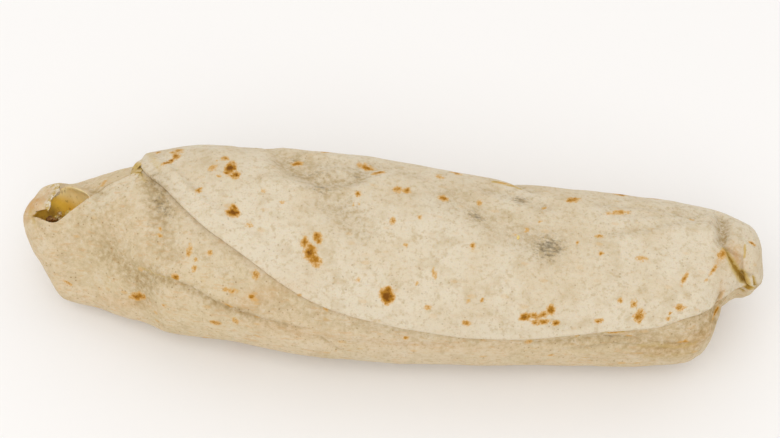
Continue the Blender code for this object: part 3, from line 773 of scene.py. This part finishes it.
def facing(sheet):
    """The way out of the roll at each point: round it, and along it at the blunt tips."""
    x = sheet.x[:, -1]
    slope = -np.gradient(9.0 * tips(x), x)[:, None]
    size = np.hypot(1.0, slope)
    along = np.array([1.0, 0.0, 0.0]) * (slope / size)[..., None]
    return outward(sheet.angle) / size[..., None] + along


def end_profile(x, angle):
    """Dents and swellings that give both ends their uneven outline."""
    points = skin(x, angle)
    change = np.zeros(points.shape[:-1])
    for centre_x, centre_angle, reach, height in END_SHAPES:
        centre = skin(centre_x, math.radians(centre_angle))
        change += height * np.exp(-((points - centre) ** 2).sum(axis=-1) / reach ** 2)
    return change


def relief(sheet):
    """Height above the plain roll, the painted shade and soil of the low places, and what is tucked in."""
    p = sheet.points
    least, near, far = QUIET_CORNER
    beside_corner = least + (1.0 - least) * ramp(np.abs(sheet.x - CORNER), near, far)
    height = rough(p, *BROAD_WAVES)
    height += rough(p * np.array([0.5, 1.0, 1.0]), FINE_WAVES) * beside_corner
    height += rough(p, GRAIN) * beside_corner
    front = wrapped(sheet.angle, 180.0)
    lower_right = sheet.below * ramp(sheet.x, *WRINKLED_FROM) * ramp(front, *WRINKLED_BELOW)
    height += rough(p * np.array([0.16, 1.0, 1.0]), LONG_WRINKLES) * lower_right
    rim = sheet.on_flap * (1.0 - ramp(sheet.x, *RIM_ENDS)) * ramp(sheet.x, *RIM_BEGINS)
    for sign, (amount, distance, reach) in ((1.0, RIM_RIDGE), (-1.0, RIM_DIP)):
        height += sign * amount * rim * bell(sheet.from_seam - distance, reach)
    # Darker areas of the lower layer: partly brownish tone, partly painted shade.
    shade_and_soil = spots(sheet, BROWN_AND_SHADE_AREAS)
    for route, width, depth in CREASES:
        distance = route_distance(sheet, route)
        height -= CREASE_DEPTH * depth * bell(distance, width)
        # Painted shade in the crease.
        shade_and_soil += max(depth, 0.0) * bell(distance, 0.8 * width)
    fold, fold_shade = fold_relief(sheet)
    tuck, tucked = tuck_relief(sheet)
    height += fold * (1.0 - sheet.on_flap)
    height += tuck + end_profile(sheet.x, sheet.angle)
    # Painted shade below the long fold, where its upper side hangs over.
    shade_and_soil += FOLD_SHADE_STRENGTH * fold_shade * (1.0 - sheet.on_flap)
    # Painted shadow on the back layer, just behind the folded edge.
    strength, distance, reach = SHADOW_BEHIND_FOLD
    behind = (sheet.x < CORNER) * (1.0 - ramp(sheet.rank, 0.3, 0.4)) * ramp(sheet.x, *SHADOW_BEHIND_FOLD_BEGINS)
    shade_and_soil += strength * behind * bell(np.maximum(sheet.from_seam - distance, 0.0), reach)
    # Painted shadow on the layer under the flap, along the flap's edge.
    strength, more, reach = SHADOW_BEFORE_FLAP
    before = (sheet.x > CORNER) * ramp(sheet.rank, 0.6, 0.7)
    shade_and_soil += (strength + more * ramp(sheet.x, *RIGHT_END)) * before * bell(sheet.from_seam, reach)
    return height * (1.0 - sheet.pocket), shade_and_soil, tucked


def scattered_marks():
    """Marks for the sides that are seen from behind and below."""
    rng = np.random.default_rng(11)
    marks = []
    for _ in range(SCATTER):
        x = rng.uniform(*SCATTER_ENDS)
        angle = rng.uniform(*SCATTER_ANGLES)
        size = min(0.3 + 0.5 * rng.exponential(), 1.6)
        width = size * rng.uniform(0.5, 0.9)
        tilt = rng.uniform(-40.0, 40.0)
        marks.append((x, angle, size, width, tilt, rng.uniform(0.25, 0.6) + 0.25 * size))
    return tuple(marks)


def toasted(sheet):
    """How near each point is to a toasted mark: highest in its middle, 0 well outside it."""
    rng = np.random.default_rng(5)
    # Marks are laid on coordinates that are moved a little, which makes their outlines uneven.
    wandering = copy.copy(sheet)
    wandering.x = sheet.x + rough(sheet.points, (*MARK_WANDER, 21))
    wandering.angle = sheet.angle + rough(sheet.points, (*MARK_WANDER, 22)) / sheet.radius
    field = np.zeros(sheet.x.shape)
    for x, angle, length, width, tilt, strength in MARKS + scattered_marks():
        peak = 0.36 + 0.64 * strength
        length = max(MARK_SIZE * length, MARK_LEAST)
        width = max(MARK_SIZE * width, MARK_LEAST)
        q = wandering.nearby((x, angle), length, width, tilt)
        field = np.maximum(field, peak * (1.0 - q / MARK_SPREAD))
        if length * width > 0.6:
            cos = math.cos(math.radians(tilt))
            sin = math.sin(math.radians(tilt))
            for _ in range(int(4 * length * width) + 3):
                turn = rng.uniform(0.0, TURN)
                reach = rng.uniform(0.6, 1.0)
                size = min(length, width) * rng.uniform(0.40, 0.60)
                a = length * reach * math.cos(turn)
                b = width * reach * math.sin(turn)
                near = (x + a * cos - b * sin, angle + math.degrees((a * sin + b * cos) / MEAN_RADIUS))
                blob = 1.0 - wandering.nearby(near, size, size) / MARK_SPREAD
                field = np.maximum(field, peak * rng.uniform(0.7, 1.0) * blob)
    return field


def spots(sheet, table):
    """Soft spots, added up where they meet."""
    field = np.zeros(sheet.x.shape)
    for x, angle, length, width, tilt, strength in table:
        field += strength * bell(sheet.nearby((x, angle), length, width, tilt), 1.0)
    return field


def oily(sheet):
    """How oily each point is: the strongest of the oily routes."""
    field = np.zeros(sheet.x.shape)
    for route, width, strength in OILY:
        field = np.maximum(field, strength * bell(route_distance(sheet, route), width))
    return field


def quads(row, size, first, after):
    """Faces between ring `row` and the next one, from each point `first` to its neighbour `after`."""
    here = row * size
    following = here + size
    return np.stack([here + first, following + first, following + after, here + after], axis=-1)


def closed_rings(along, around):
    """Quads round rings of points and a fan at each end, with each face corner's place on the map.
    `along` has a value for each ring, and `around` one more value than a ring has points."""
    count, size = len(along), len(around) - 1
    ring = np.arange(size)
    after = (ring + 1) % size
    faces = []
    corners = []
    for i in range(count - 1):
        faces.append(quads(i, size, ring, after))
        u = np.broadcast_to([along[i], along[i + 1], along[i + 1], along[i]], (size, 4))
        v = np.stack([around[:-1], around[:-1], around[1:], around[1:]], axis=-1)
        corners.append(np.stack([u, v], axis=-1))
    faces = np.concatenate(faces).tolist()
    corners = [np.concatenate(corners).reshape(-1, 2)]
    halfway = (around[:-1] + around[1:]) / 2.0
    for pole, row, near in ((count * size, 0, 0.0), (count * size + 1, count - 1, 1.0)):
        tips = np.stack([0 * ring + pole, row * size + ring, row * size + after], axis=-1)
        v = np.stack([halfway, around[:-1], around[1:]], axis=-1)
        u = np.broadcast_to([near, along[row], along[row]], (size, 3))
        faces += tips.tolist()
        corners.append(np.stack([u, v], axis=-1).reshape(-1, 2))
    return faces, np.concatenate(corners)


def shell_faces(count, size):
    """Quads of two grids of points, one behind the other, whose borders meet."""
    row = np.arange(size - 1)
    outer = np.concatenate([quads(i, size, row, row + 1) for i in range(count - 1)])
    return outer.tolist() + (outer[:, ::-1] + count * size).tolist()


def add_piece(name, material, vertices, faces, attributes=None, bake_map=None):
    """A closed mesh, given in millimetres, with a value of each attribute at each point."""
    mesh = bpy.data.meshes.new(name)
    mesh.from_pydata((vertices * MM).tolist(), [], faces)
    for key, values in (attributes or {}).items():
        layer = mesh.attributes.new(key, "FLOAT", "POINT")
        layer.data.foreach_set("value", np.asarray(values, dtype=np.float32))
    if bake_map is not None:
        uvs = mesh.uv_layers.new(name="OFBake")
        uvs.data.foreach_set("uv", bake_map.astype(np.float32).ravel())
    bm = bmesh.new()
    bm.from_mesh(mesh)
    bmesh.ops.remove_doubles(bm, verts=bm.verts[:], dist=2e-6)
    bmesh.ops.recalc_face_normals(bm, faces=bm.faces[:])
    bm.to_mesh(mesh)
    bm.free()
    mesh.shade_smooth()
    mesh.materials.append(material)
    piece = bpy.data.objects.new(name, mesh)
    bpy.context.collection.objects.link(piece)
    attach(piece, "root")
    return piece


def place_shift(points):
    """From the part's own building position to where it stands in the frame."""
    low, high = [np.array(corner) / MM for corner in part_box("tortilla")]
    flat = points.reshape(-1, 3)
    centre = (flat.min(axis=0) + flat.max(axis=0)) / 2.0
    shift = (low + high) / 2.0 - centre
    shift[2] = 0.0
    return shift


# Colours, linear.
CREAM = (0.65, 0.548, 0.39)
PALE = (0.69, 0.605, 0.46)
CLOUD = (0.51, 0.395, 0.23)
LOWER = (0.64, 0.52, 0.33)
PINKISH = (0.655, 0.52, 0.335)
SHADE = (0.43, 0.30, 0.135)
# Painted shade in the creases and under the edges, and the soil of the grease patches.
PAINTED_SHADE_AND_SOIL = (0.34, 0.23, 0.09)
GREY = (0.18, 0.145, 0.09)
DOT = (0.24, 0.125, 0.035)
TINT = (0.60, 0.36, 0.16)
HALO = (0.62, 0.36, 0.11)
TOAST = (0.42, 0.19, 0.018)
CHAR = (0.19, 0.066, 0.004)
OIL_THIN = (0.54, 0.38, 0.12)
OIL_DEEP = (0.33, 0.18, 0.018)
POCKET_PALE = (0.95, 0.82, 0.48)
POCKET_GOLD = (0.95, 0.66, 0.11)
POCKET_DEEP = (0.78, 0.48, 0.05)
# Painted shade deep in the pocket, and its dark specks.
POCKET_SHADE_AND_SPECKS = (0.30, 0.16, 0.025)
EGG = (0.72, 0.50, 0.08)
EGG_PALE = (0.74, 0.60, 0.26)
SAUSAGE = (0.20, 0.09, 0.018)
SAUSAGE_LIGHT = (0.40, 0.21, 0.06)


class Graph:
    """Short calls for building a material's nodes."""

    def __init__(self, name):
        self.material = bpy.data.materials.new(name)
        self.material.use_nodes = True
        self.tree = self.material.node_tree
        self.shader = self.tree.nodes["Principled BSDF"]

    def feed(self, socket, value):
        """Link a socket to another one, or set its number or colour."""
        if isinstance(value, bpy.types.NodeSocket):
            self.tree.links.new(value, socket)
        elif isinstance(value, tuple) and socket.type == "RGBA":
            socket.default_value = (*value, 1.0)
        else:
            socket.default_value = value

    def put(self, kind, inputs=None, **properties):
        node = self.tree.nodes.new(kind)
        for key, value in properties.items():
            setattr(node, key, value)
        for key, value in (inputs or {}).items():
            self.feed(node.inputs[key], value)
        return node

    def value(self, name):
        return self.put("ShaderNodeAttribute", attribute_name=name).outputs["Fac"]

    def place(self, stretch=(1.0, 1.0, 1.0)):
        """Place on the object, in millimetres, squeezed along each axis by `stretch`."""
        coordinates = self.put("ShaderNodeTexCoord").outputs["Object"]
        inputs = {0: coordinates, 1: tuple(s / MM for s in stretch)}
        return self.put("ShaderNodeVectorMath", inputs, operation="MULTIPLY").outputs[0]

    def noise(self, place, size, detail=2.0, roughness=0.55):
        inputs = {"Vector": place, "Scale": 1.0 / size, "Detail": detail, "Roughness": roughness}
        return self.put("ShaderNodeTexNoise", inputs).outputs["Fac"]

    def math(self, operation, a, b=0.0, c=0.0):
        return self.put("ShaderNodeMath", {0: a, 1: b, 2: c}, operation=operation).outputs[0]

    def times(self, a, b):
        return self.math("MULTIPLY", a, b)

    def span(self, value, low, high, to_low=0.0, to_high=1.0):
        """Ease from to_low to to_high while the value goes from low to high."""
        inputs = {"Value": value, "From Min": low, "From Max": high, "To Min": to_low, "To Max": to_high}
        return self.put("ShaderNodeMapRange", inputs, interpolation_type="SMOOTHSTEP").outputs["Result"]

    def mix(self, share, a, b):
        inputs = {0: share, 6: a, 7: b}
        return self.put("ShaderNodeMix", inputs, data_type="RGBA", clamp_factor=True).outputs[2]

    def cover(self, colour, paint, value, low, high, most=1.0):
        """Lay a paint over a colour as the value goes from low to high."""
        return self.mix(self.span(value, low, high, 0.0, most), colour, paint)

    def specks(self, place, size, radius, share):
        """Small round specks, one in each share of the cells."""
        cells = self.put("ShaderNodeTexVoronoi", {"Vector": place, "Scale": 1.0 / size})
        drawn = self.put("ShaderNodeSeparateColor", {0: cells.outputs["Color"]}).outputs[0]
        chosen = self.math("GREATER_THAN", drawn, 1.0 - share)
        near = self.span(cells.outputs["Distance"], radius, radius * 0.45)
        return self.times(near, chosen)

    def soften(self, weight, radius, scale):
        """Let light a little way into the surface."""
        for name, value in (("Weight", weight), ("Radius", radius), ("Scale", scale)):
            self.shader.inputs["Subsurface " + name].default_value = value

    def finish(self, colour, roughness, height, distance, strength):
        """The material, with bumps as high as `distance`, in metres, where the height is 1."""
        inputs = {"Height": height, "Distance": distance, "Strength": strength}
        normal = self.put("ShaderNodeBump", inputs).outputs["Normal"]
        for name, value in (("Base Color", colour), ("Roughness", roughness), ("Normal", normal)):
            self.feed(self.shader.inputs[name], value)
        return self.material


def tortilla_material():
    g = Graph("toasted_flour_dough")
    place = g.place()
    broad = g.noise(place, 13.0, 3.0)
    cloud = g.noise(place, 3.8, 4.0, 0.56)
    fine = g.noise(place, 1.0, 4.0, 0.65)
    grain = g.noise(place, 0.34, 3.0, 0.7)
    streaks = g.noise(g.place((0.3, 1.0, 1.0)), 0.75, 3.0, 0.6)
    lower = g.value("lower")
    painted_wall_light = g.value("painted_wall_light")
    toast = g.value("toast")
    grease = g.value("grease")

    # Pale dough, more yellow on the lower layer, with clouds of flour and grain.
    dough = g.cover(CREAM, PALE, broad, 0.38, 0.62)
    under = g.cover(LOWER, PINKISH, broad, 0.40, 0.60)
    colour = g.mix(g.times(lower, 0.88), dough, under)
    # Painted highlight along the rounded edges of the flap and the fold.
    colour = g.mix(g.times(g.value("highlight_band"), 0.60), colour, PALE)
    for paint, value, low, high, most in (
        (CLOUD, cloud, 0.47, 0.72, 0.48), (PALE, cloud, 0.46, 0.30, 0.40), (CLOUD, fine, 0.50, 0.68, 0.60),
        (PALE, fine, 0.47, 0.30, 0.50), (SHADE, grain, 0.54, 0.76, 0.52),
    ):
        colour = g.cover(colour, paint, value, low, high, most)
    rubbed = g.times(g.span(streaks, 0.54, 0.68, 0.0, 0.42), g.span(lower, 0.0, 1.0, 0.25, 1.0))
    colour = g.mix(rubbed, colour, TINT)
    tinted = g.times(g.value("tint"), g.span(fine, 0.30, 0.65, 0.35, 0.85))
    colour = g.mix(tinted, colour, TINT)

    # Painted shade and soil in the creases and under the edges, grey grease and golden oil.
    shaded_and_soiled = g.times(g.value("shade_and_soil"), g.span(fine, 0.35, 0.65, 0.25, 0.80))
    colour = g.mix(shaded_and_soiled, colour, PAINTED_SHADE_AND_SOIL)
    smears = g.noise(g.place((0.55, 1.0, 1.0)), 0.55, 4.0, 0.7)
    greasy = g.span(g.math("MULTIPLY_ADD", grease, 0.17, smears), 0.56, 0.82)
    greasy = g.times(greasy, g.span(grease, 0.05, 0.8, 0.0, 0.78))
    colour = g.mix(g.times(grease, g.span(fine, 0.35, 0.65, 0.12, 0.42)), colour, PAINTED_SHADE_AND_SOIL)
    colour = g.mix(greasy, colour, GREY)
    oil = g.times(g.value("oil"), g.span(fine, 0.30, 0.60, 0.80, 1.10))
    colour = g.cover(colour, OIL_THIN, oil, 0.03, 0.60, 0.90)
    colour = g.cover(colour, OIL_DEEP, oil, 0.50, 1.0, 0.95)

    # Toasted marks: an orange rim, brown, and nearly black in the middle.
    broken = g.math("ADD", g.span(fine, 0.32, 0.68, -0.15, 0.13), g.span(grain, 0.35, 0.70, -0.08, 0.10))
    level = g.math("MULTIPLY_ADD", broken, g.span(toast, 0.04, 0.30), toast)
    colour = g.cover(colour, HALO, level, 0.06, 0.38, 0.85)
    colour = g.cover(colour, TOAST, level, 0.30, 0.62)
    colour = g.cover(colour, CHAR, level, 0.58, 0.92)

    # Freckles and dark dots.
    many = g.span(cloud, 0.35, 0.65, 0.40, 1.0)
    for speck_place, size, radius, share, least, most, paint in (
        (g.place((0.5, 1.0, 1.0)), 1.7, 0.34, 0.22, 0.30, 0.60, HALO),
        (place, 0.85, 0.27, 0.30, 0.40, 0.65, DOT),
    ):
        strength = g.span(lower, 0.0, 1.0, least, most)
        specks = g.times(g.specks(speck_place, size, radius, share), strength)
        colour = g.mix(g.times(specks, many), colour, paint)

    # The oily inside of the pocket, with painted shade darker deep down and at its left end and paler near
    # the rims, and crumbly torn edges.
    inside = g.cover(POCKET_SHADE_AND_SPECKS, POCKET_GOLD, painted_wall_light, 0.0, 0.45)
    inside = g.cover(inside, POCKET_DEEP, cloud, 0.42, 0.60, 0.45)
    inside = g.cover(inside, POCKET_PALE, painted_wall_light, 0.50, 0.95)
    inside = g.cover(inside, POCKET_SHADE_AND_SPECKS, fine, 0.56, 0.70, 0.5)
    colour = g.mix(g.span(g.value("pocket"), 0.05, 0.75), colour, inside)
    crumbly = g.cover(PALE, OIL_THIN, fine, 0.48, 0.58)
    crumbly = g.cover(crumbly, OIL_DEEP, grain, 0.53, 0.66, 0.85)
    colour = g.mix(g.value("torn"), colour, crumbly)

    height = g.math("ADD", g.times(fine, 0.6), g.times(grain, 0.4))
    g.soften(0.08, (1.0, 0.55, 0.25), 0.0006)
    g.shader.inputs["Specular IOR Level"].default_value = 0.12
    return g.finish(colour, g.span(fine, 0.3, 0.7, 0.62, 0.84), height, 0.00028, 0.7)


def crumb_material(name, dark, light, roughness):
    g = Graph(name)
    fine = g.noise(g.place(), 0.6, 4.0, 0.65)
    colour = g.cover(dark, light, fine, 0.38, 0.66)
    g.soften(0.15, (1.0, 0.6, 0.2), 0.001)
    return g.finish(colour, roughness, fine, 0.0002, 0.8)


def filling_material():
    g = Graph("egg_and_sausage")
    place = g.place()
    fine = g.noise(place, 0.8, 4.0, 0.65)
    kind = g.noise(place, 5.0, 2.0)
    egg = g.cover(EGG, EGG_PALE, fine, 0.35, 0.65)
    sausage = g.cover(SAUSAGE, SAUSAGE_LIGHT, fine, 0.35, 0.65)
    colour = g.mix(g.span(kind, 0.50, 0.56), egg, sausage)
    return g.finish(colour, 0.45, fine, 0.0004, 0.8)


def torn_sheet(shift, material):
    """The thin sheet that covers the left of the mouth and ends in a torn edge."""
    count, size = LIP_GRID
    u = (1.0 - np.cos(np.linspace(0.0, np.pi, count)))[:, None] / 2.0
    v = (1.0 - np.cos(np.linspace(0.0, np.pi, size)))[None, :] / 2.0
    guess = LIP_LEFT + (LIP_RIGHT - LIP_LEFT) * u
    degrees = LIP_BACK + (through(guess, LIP_LOW) - LIP_BACK) * v
    x = LIP_LEFT + (through(degrees, LIP_TORN) - LIP_LEFT) * u
    flat = np.stack([x, 0.12 * degrees, 0.0 * x], axis=-1)
    ragged = ramp(u, 0.55, 1.0)
    low_border = ramp(v, 0.8, 1.0)
    x = x + rough(flat, (0.7, 1.3, 31), (0.45, 0.55, 32)) * ragged
    degrees = degrees + rough(flat, (5.0, 1.4, 33)) * low_border * smooth(u / 0.5)
    angle = np.radians(degrees)
    spread = smooth(u / 0.7) * ramp(degrees, 62.0, 86.0)
    curl = LIP_CURL * ramp(u, 0.72, 1.0) * ramp(degrees, 74.0, 86.0) - LIP_DROOP * low_border
    lift = -LIP_SINK + (LIP_SINK + LIP_RISE + curl + rough(flat, (0.22, 2.2, 34))) * spread
    lift = lift + rough(flat, (0.12, 0.7, 35)) * ragged + end_profile(x, angle)
    edge = np.minimum(np.minimum(u, 1.0 - u) * 10.0, np.minimum(v, 1.0 - v) * 18.0)
    thickness = LIP_THICKNESS * np.sqrt(1.0 - (1.0 - np.clip(edge, 0.0, 1.0)) ** 2)
    high = skin(x, angle, lift)
    low = skin(x, angle, lift - thickness)
    vertices = np.concatenate([high.reshape(-1, 3), low.reshape(-1, 3)]) + shift
    tint_x, tint_along, tint_angle, tint_around = LIP_TINT
    tint = bell(x - tint_x, tint_along) * bell(degrees - tint_angle, tint_around)
    ones = np.ones(2 * count * size)
    attributes = {
        "torn": np.tile((ramp(u, 0.72, 0.92) + 0.0 * v).ravel(), 2),
        "oil": np.repeat([0.0, 0.5], count * size),
        "lower": ones,
        "tint": np.tile(tint.ravel(), 2),
        "painted_wall_light": ones,
    }
    return add_piece("torn_sheet", material, vertices, shell_faces(count, size), attributes)


def lumps(places, seed):
    """Uneven crumbs in one mesh. Each is x, ring angle, depth under the plain roll, and size."""
    rng = np.random.default_rng(seed)
    bm = bmesh.new()
    for x, degrees, depth, size in places:
        centre = skin(x, math.radians(degrees), -depth)
        made = bmesh.ops.create_icosphere(bm, subdivisions=4, radius=1.0)["verts"]
        shape = np.array([corner.co[:] for corner in made])
        swell = 1.0 + rough(shape + rng.uniform(0.0, 60.0, 3), (0.45, 0.9, seed), (0.2, 0.4, seed + 1))
        shape = shape * swell[:, None] * rng.uniform(0.7, 1.2, 3) * size + centre
        for corner, place in zip(made, shape):
            corner.co = place
    bm.verts.index_update()
    vertices = np.array([corner.co[:] for corner in bm.verts])
    faces = [[corner.index for corner in face.verts] for face in bm.faces]
    bm.free()
    return vertices, faces


def filling_points():
    """The filling inside the roll: the part's own core, with lumps of egg and sausage in its surface."""
    count, size = CORE_GRID
    share = (np.arange(count) + 0.5) / count
    left, right = CORE_ENDS
    x = (left + (right - left) * (1.0 - np.cos(np.pi * share)) / 2.0)[:, None]
    angle = (np.arange(size) * TURN / size)[None, :]
    y, z = axis(x)
    r = radius(x, angle, y, z, ROLL) - CORE_WALL
    ends = rounding(x - left, *CORE_ROUNDING) * rounding(right - x, *CORE_ROUNDING)
    x, r = np.broadcast_arrays(x, r * ends)
    points = np.stack([x, y + r * np.cos(angle), z + r * np.sin(angle)], axis=-1)
    bumps = -0.5 + rough(points, (0.45, 4.0, 41), (0.3, 1.8, 42))
    return points + outward(angle + 0.0 * x) * (bumps * ends)[..., None]


def with_ends(points):
    """All points of the rings, with the middle of the first and the last ring added."""
    middles = np.stack([points[0].mean(axis=0), points[-1].mean(axis=0)])
    return np.concatenate([points.reshape(-1, 3), middles])


def looks(sheet, shade_and_soil, tucked):
    """What the dough's material needs to know at each point of the roll."""
    before_fold = ramp(sheet.rank, 0.6, 0.7) * ramp(sheet.x, -62.0, -58.0)
    rim = np.where(sheet.x > CORNER, sheet.on_flap, before_fold)
    begins, ends, reach = PALER_LEFT
    paler = bell(sheet.from_seam, reach) * ramp(sheet.x, *begins) * (1.0 - ramp(sheet.x, *ends))
    # Painted light: the middle of the front is paler, as if lit from the floor.
    strength, centre, reach = PAINTED_BOUNCE_LIGHT
    paler = paler + strength * bell(sheet.x - centre, reach)
    low_share, crevice_share, tucked_share = SHADE_AND_SOIL_SHARES
    shade_and_soil = low_share * shade_and_soil + crevice_share * sheet.crevice_shade + tucked_share * tucked
    # Painted highlight along the rounded edges.
    highlight_band, fade = HIGHLIGHT_BAND
    outside = 1.0 - sheet.pocket
    return {
        "pocket": sheet.pocket,
        "painted_wall_light": sheet.painted_wall_light,
        "lower": (1.0 - sheet.on_flap) * (1.0 - 0.5 * paler),
        "shade_and_soil": np.clip(shade_and_soil, 0.0, 1.0),
        "grease": np.clip(spots(sheet, PATCHES), 0.0, 1.2) * outside,
        "tint": np.clip(spots(sheet, TINTS), 0.0, 1.2) * outside,
        "oil": oily(sheet) * outside,
        "toast": toasted(sheet) * outside,
        "highlight_band": rim * bell(np.maximum(sheet.from_seam - highlight_band, 0.0), fade),
    }


def add_roll(sheet, material):
    """The tortilla, and the shift from where it is built to where it stands."""
    shift = place_shift(sheet.points)
    height, shade_and_soil, tucked = relief(sheet)
    moved = sheet.points + facing(sheet) * height[..., None]
    moved[..., 2] = np.maximum(moved[..., 2], 0.0)
    fields = looks(sheet, shade_and_soil, tucked)
    attributes = {key: np.append(value.ravel(), [0.0, 0.0]) for key, value in fields.items()}
    strip = sheet.x.shape[1] - ROWS
    regular = np.linspace(0.0, REGULAR_SHARE, ROWS)
    around = np.concatenate([regular, np.linspace(REGULAR_SHARE, 1.0, strip + 1)])
    along = (stations()[:, 0] - LEFT_TIP) / (RIGHT_TIP - LEFT_TIP)
    faces, bake_map = closed_rings(along, around)
    vertices = with_ends(moved) + shift
    roll = add_piece("tortilla_roll", material, vertices, faces, attributes, bake_map)
    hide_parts("tortilla")
    return shift


def add_filling(shift):
    core = filling_points()
    along = np.linspace(0.01, 0.99, len(core))
    faces, bake_map = closed_rings(along, np.linspace(0.0, 1.0, core.shape[1] + 1))
    vertices = with_ends(core) + shift
    material = filling_material()
    filling = add_piece("lumpy_filling", material, vertices, faces, bake_map=bake_map)
    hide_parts("filling")


def add_crumbs(shift):
    for name, places, look, seed in (
        ("egg_crumbs", EGG_CRUMBS, ("scrambled_egg", EGG, EGG_PALE, 0.45), 51),
        ("sausage_crumbs", SAUSAGE_CRUMBS, ("browned_sausage", SAUSAGE, SAUSAGE_LIGHT, 0.4), 61),
        ("dough_crumbs", DOUGH_CRUMBS, ("torn_dough", OIL_DEEP, LOWER, 0.6), 71),
    ):
        vertices, faces = lumps(places, seed)
        add_piece(name, crumb_material(*look), vertices + shift, faces)


def build_pieces():
    dough = tortilla_material()
    shift = add_roll(Sheet(), dough)
    torn_sheet(shift, dough)
    add_filling(shift)
    add_crumbs(shift)
    return shift


# The camera, in degrees and metres, and the place it looks at, in millimetres from the part's own
# building position.
AZIMUTH = 5.4
ELEVATION = 58.0
DISTANCE = 0.372
TARGET = (-0.5, 8.0, 15.0)
LENS = 85.0
SENSOR = 36.0

# Lights, in metres and watts: name, place, size and power. All shine on the lit place.
LIGHTS = (
    ("key", (-0.12, -0.50, 0.80), (1.2, 1.0), 3.7),
    ("back", (0.15, 0.60, 0.75), (1.3, 1.0), 1.3),
)
LIT_PLACE = (0.0, 0.0, 0.01)

# The floor, in metres, and the light from all round.
FLOOR_HALF = 0.9
FLOOR_CELLS = 24
FLOOR_HEIGHT = -0.0002
FLOOR_COLOUR = (0.88, 0.865, 0.85, 1.0)
FLOOR_ROUGHNESS = 0.8
WORLD_COLOUR = (1.0, 0.99, 0.98, 1.0)
WORLD_STRENGTH = 0.81


def add_camera(shift):
    a = math.radians(AZIMUTH)
    e = math.radians(ELEVATION)
    back = Vector((math.sin(a) * math.cos(e), -math.cos(a) * math.cos(e), math.sin(e)))
    data = bpy.data.cameras.new("camera")
    data.lens = LENS
    data.sensor_width = SENSOR
    camera = bpy.data.objects.new("camera", data)
    camera.location = Vector((np.array(TARGET) + shift) * MM) + back * DISTANCE
    camera.rotation_euler = back.to_track_quat("Z", "Y").to_euler()
    bpy.context.collection.objects.link(camera)
    bpy.context.scene.camera = camera


def area_light(name, place, size, power):
    data = bpy.data.lights.new(name, "AREA")
    data.shape = "RECTANGLE"
    data.size, data.size_y = size
    data.energy = power
    light = bpy.data.objects.new(name, data)
    light.location = place
    light.rotation_euler = (Vector(place) - Vector(LIT_PLACE)).to_track_quat("Z", "Y").to_euler()
    bpy.context.collection.objects.link(light)


def add_floor():
    line = np.linspace(-FLOOR_HALF, FLOOR_HALF, FLOOR_CELLS + 1)
    vertices = [(x, y, FLOOR_HEIGHT) for x in line for y in line]
    cells = np.arange(FLOOR_CELLS)
    faces = np.concatenate([quads(i, FLOOR_CELLS + 1, cells, cells + 1) for i in range(FLOOR_CELLS)])
    mesh = bpy.data.meshes.new("floor")
    mesh.from_pydata(vertices, [], faces.tolist())
    floor = bpy.data.objects.new("floor", mesh)
    bpy.context.collection.objects.link(floor)
    material = bpy.data.materials.new("floor")
    material.use_nodes = True
    shader = material.node_tree.nodes["Principled BSDF"]
    shader.inputs["Base Color"].default_value = FLOOR_COLOUR
    shader.inputs["Roughness"].default_value = FLOOR_ROUGHNESS
    mesh.materials.append(material)


def add_world():
    world = bpy.data.worlds.new("studio")
    world.use_nodes = True
    background = world.node_tree.nodes["Background"]
    background.inputs["Color"].default_value = WORLD_COLOUR
    background.inputs["Strength"].default_value = WORLD_STRENGTH
    bpy.context.scene.world = world
    bpy.context.scene.view_settings.view_transform = "Standard"


add_camera(build_pieces())
add_floor()
add_world()
for light in LIGHTS:
    area_light(*light)
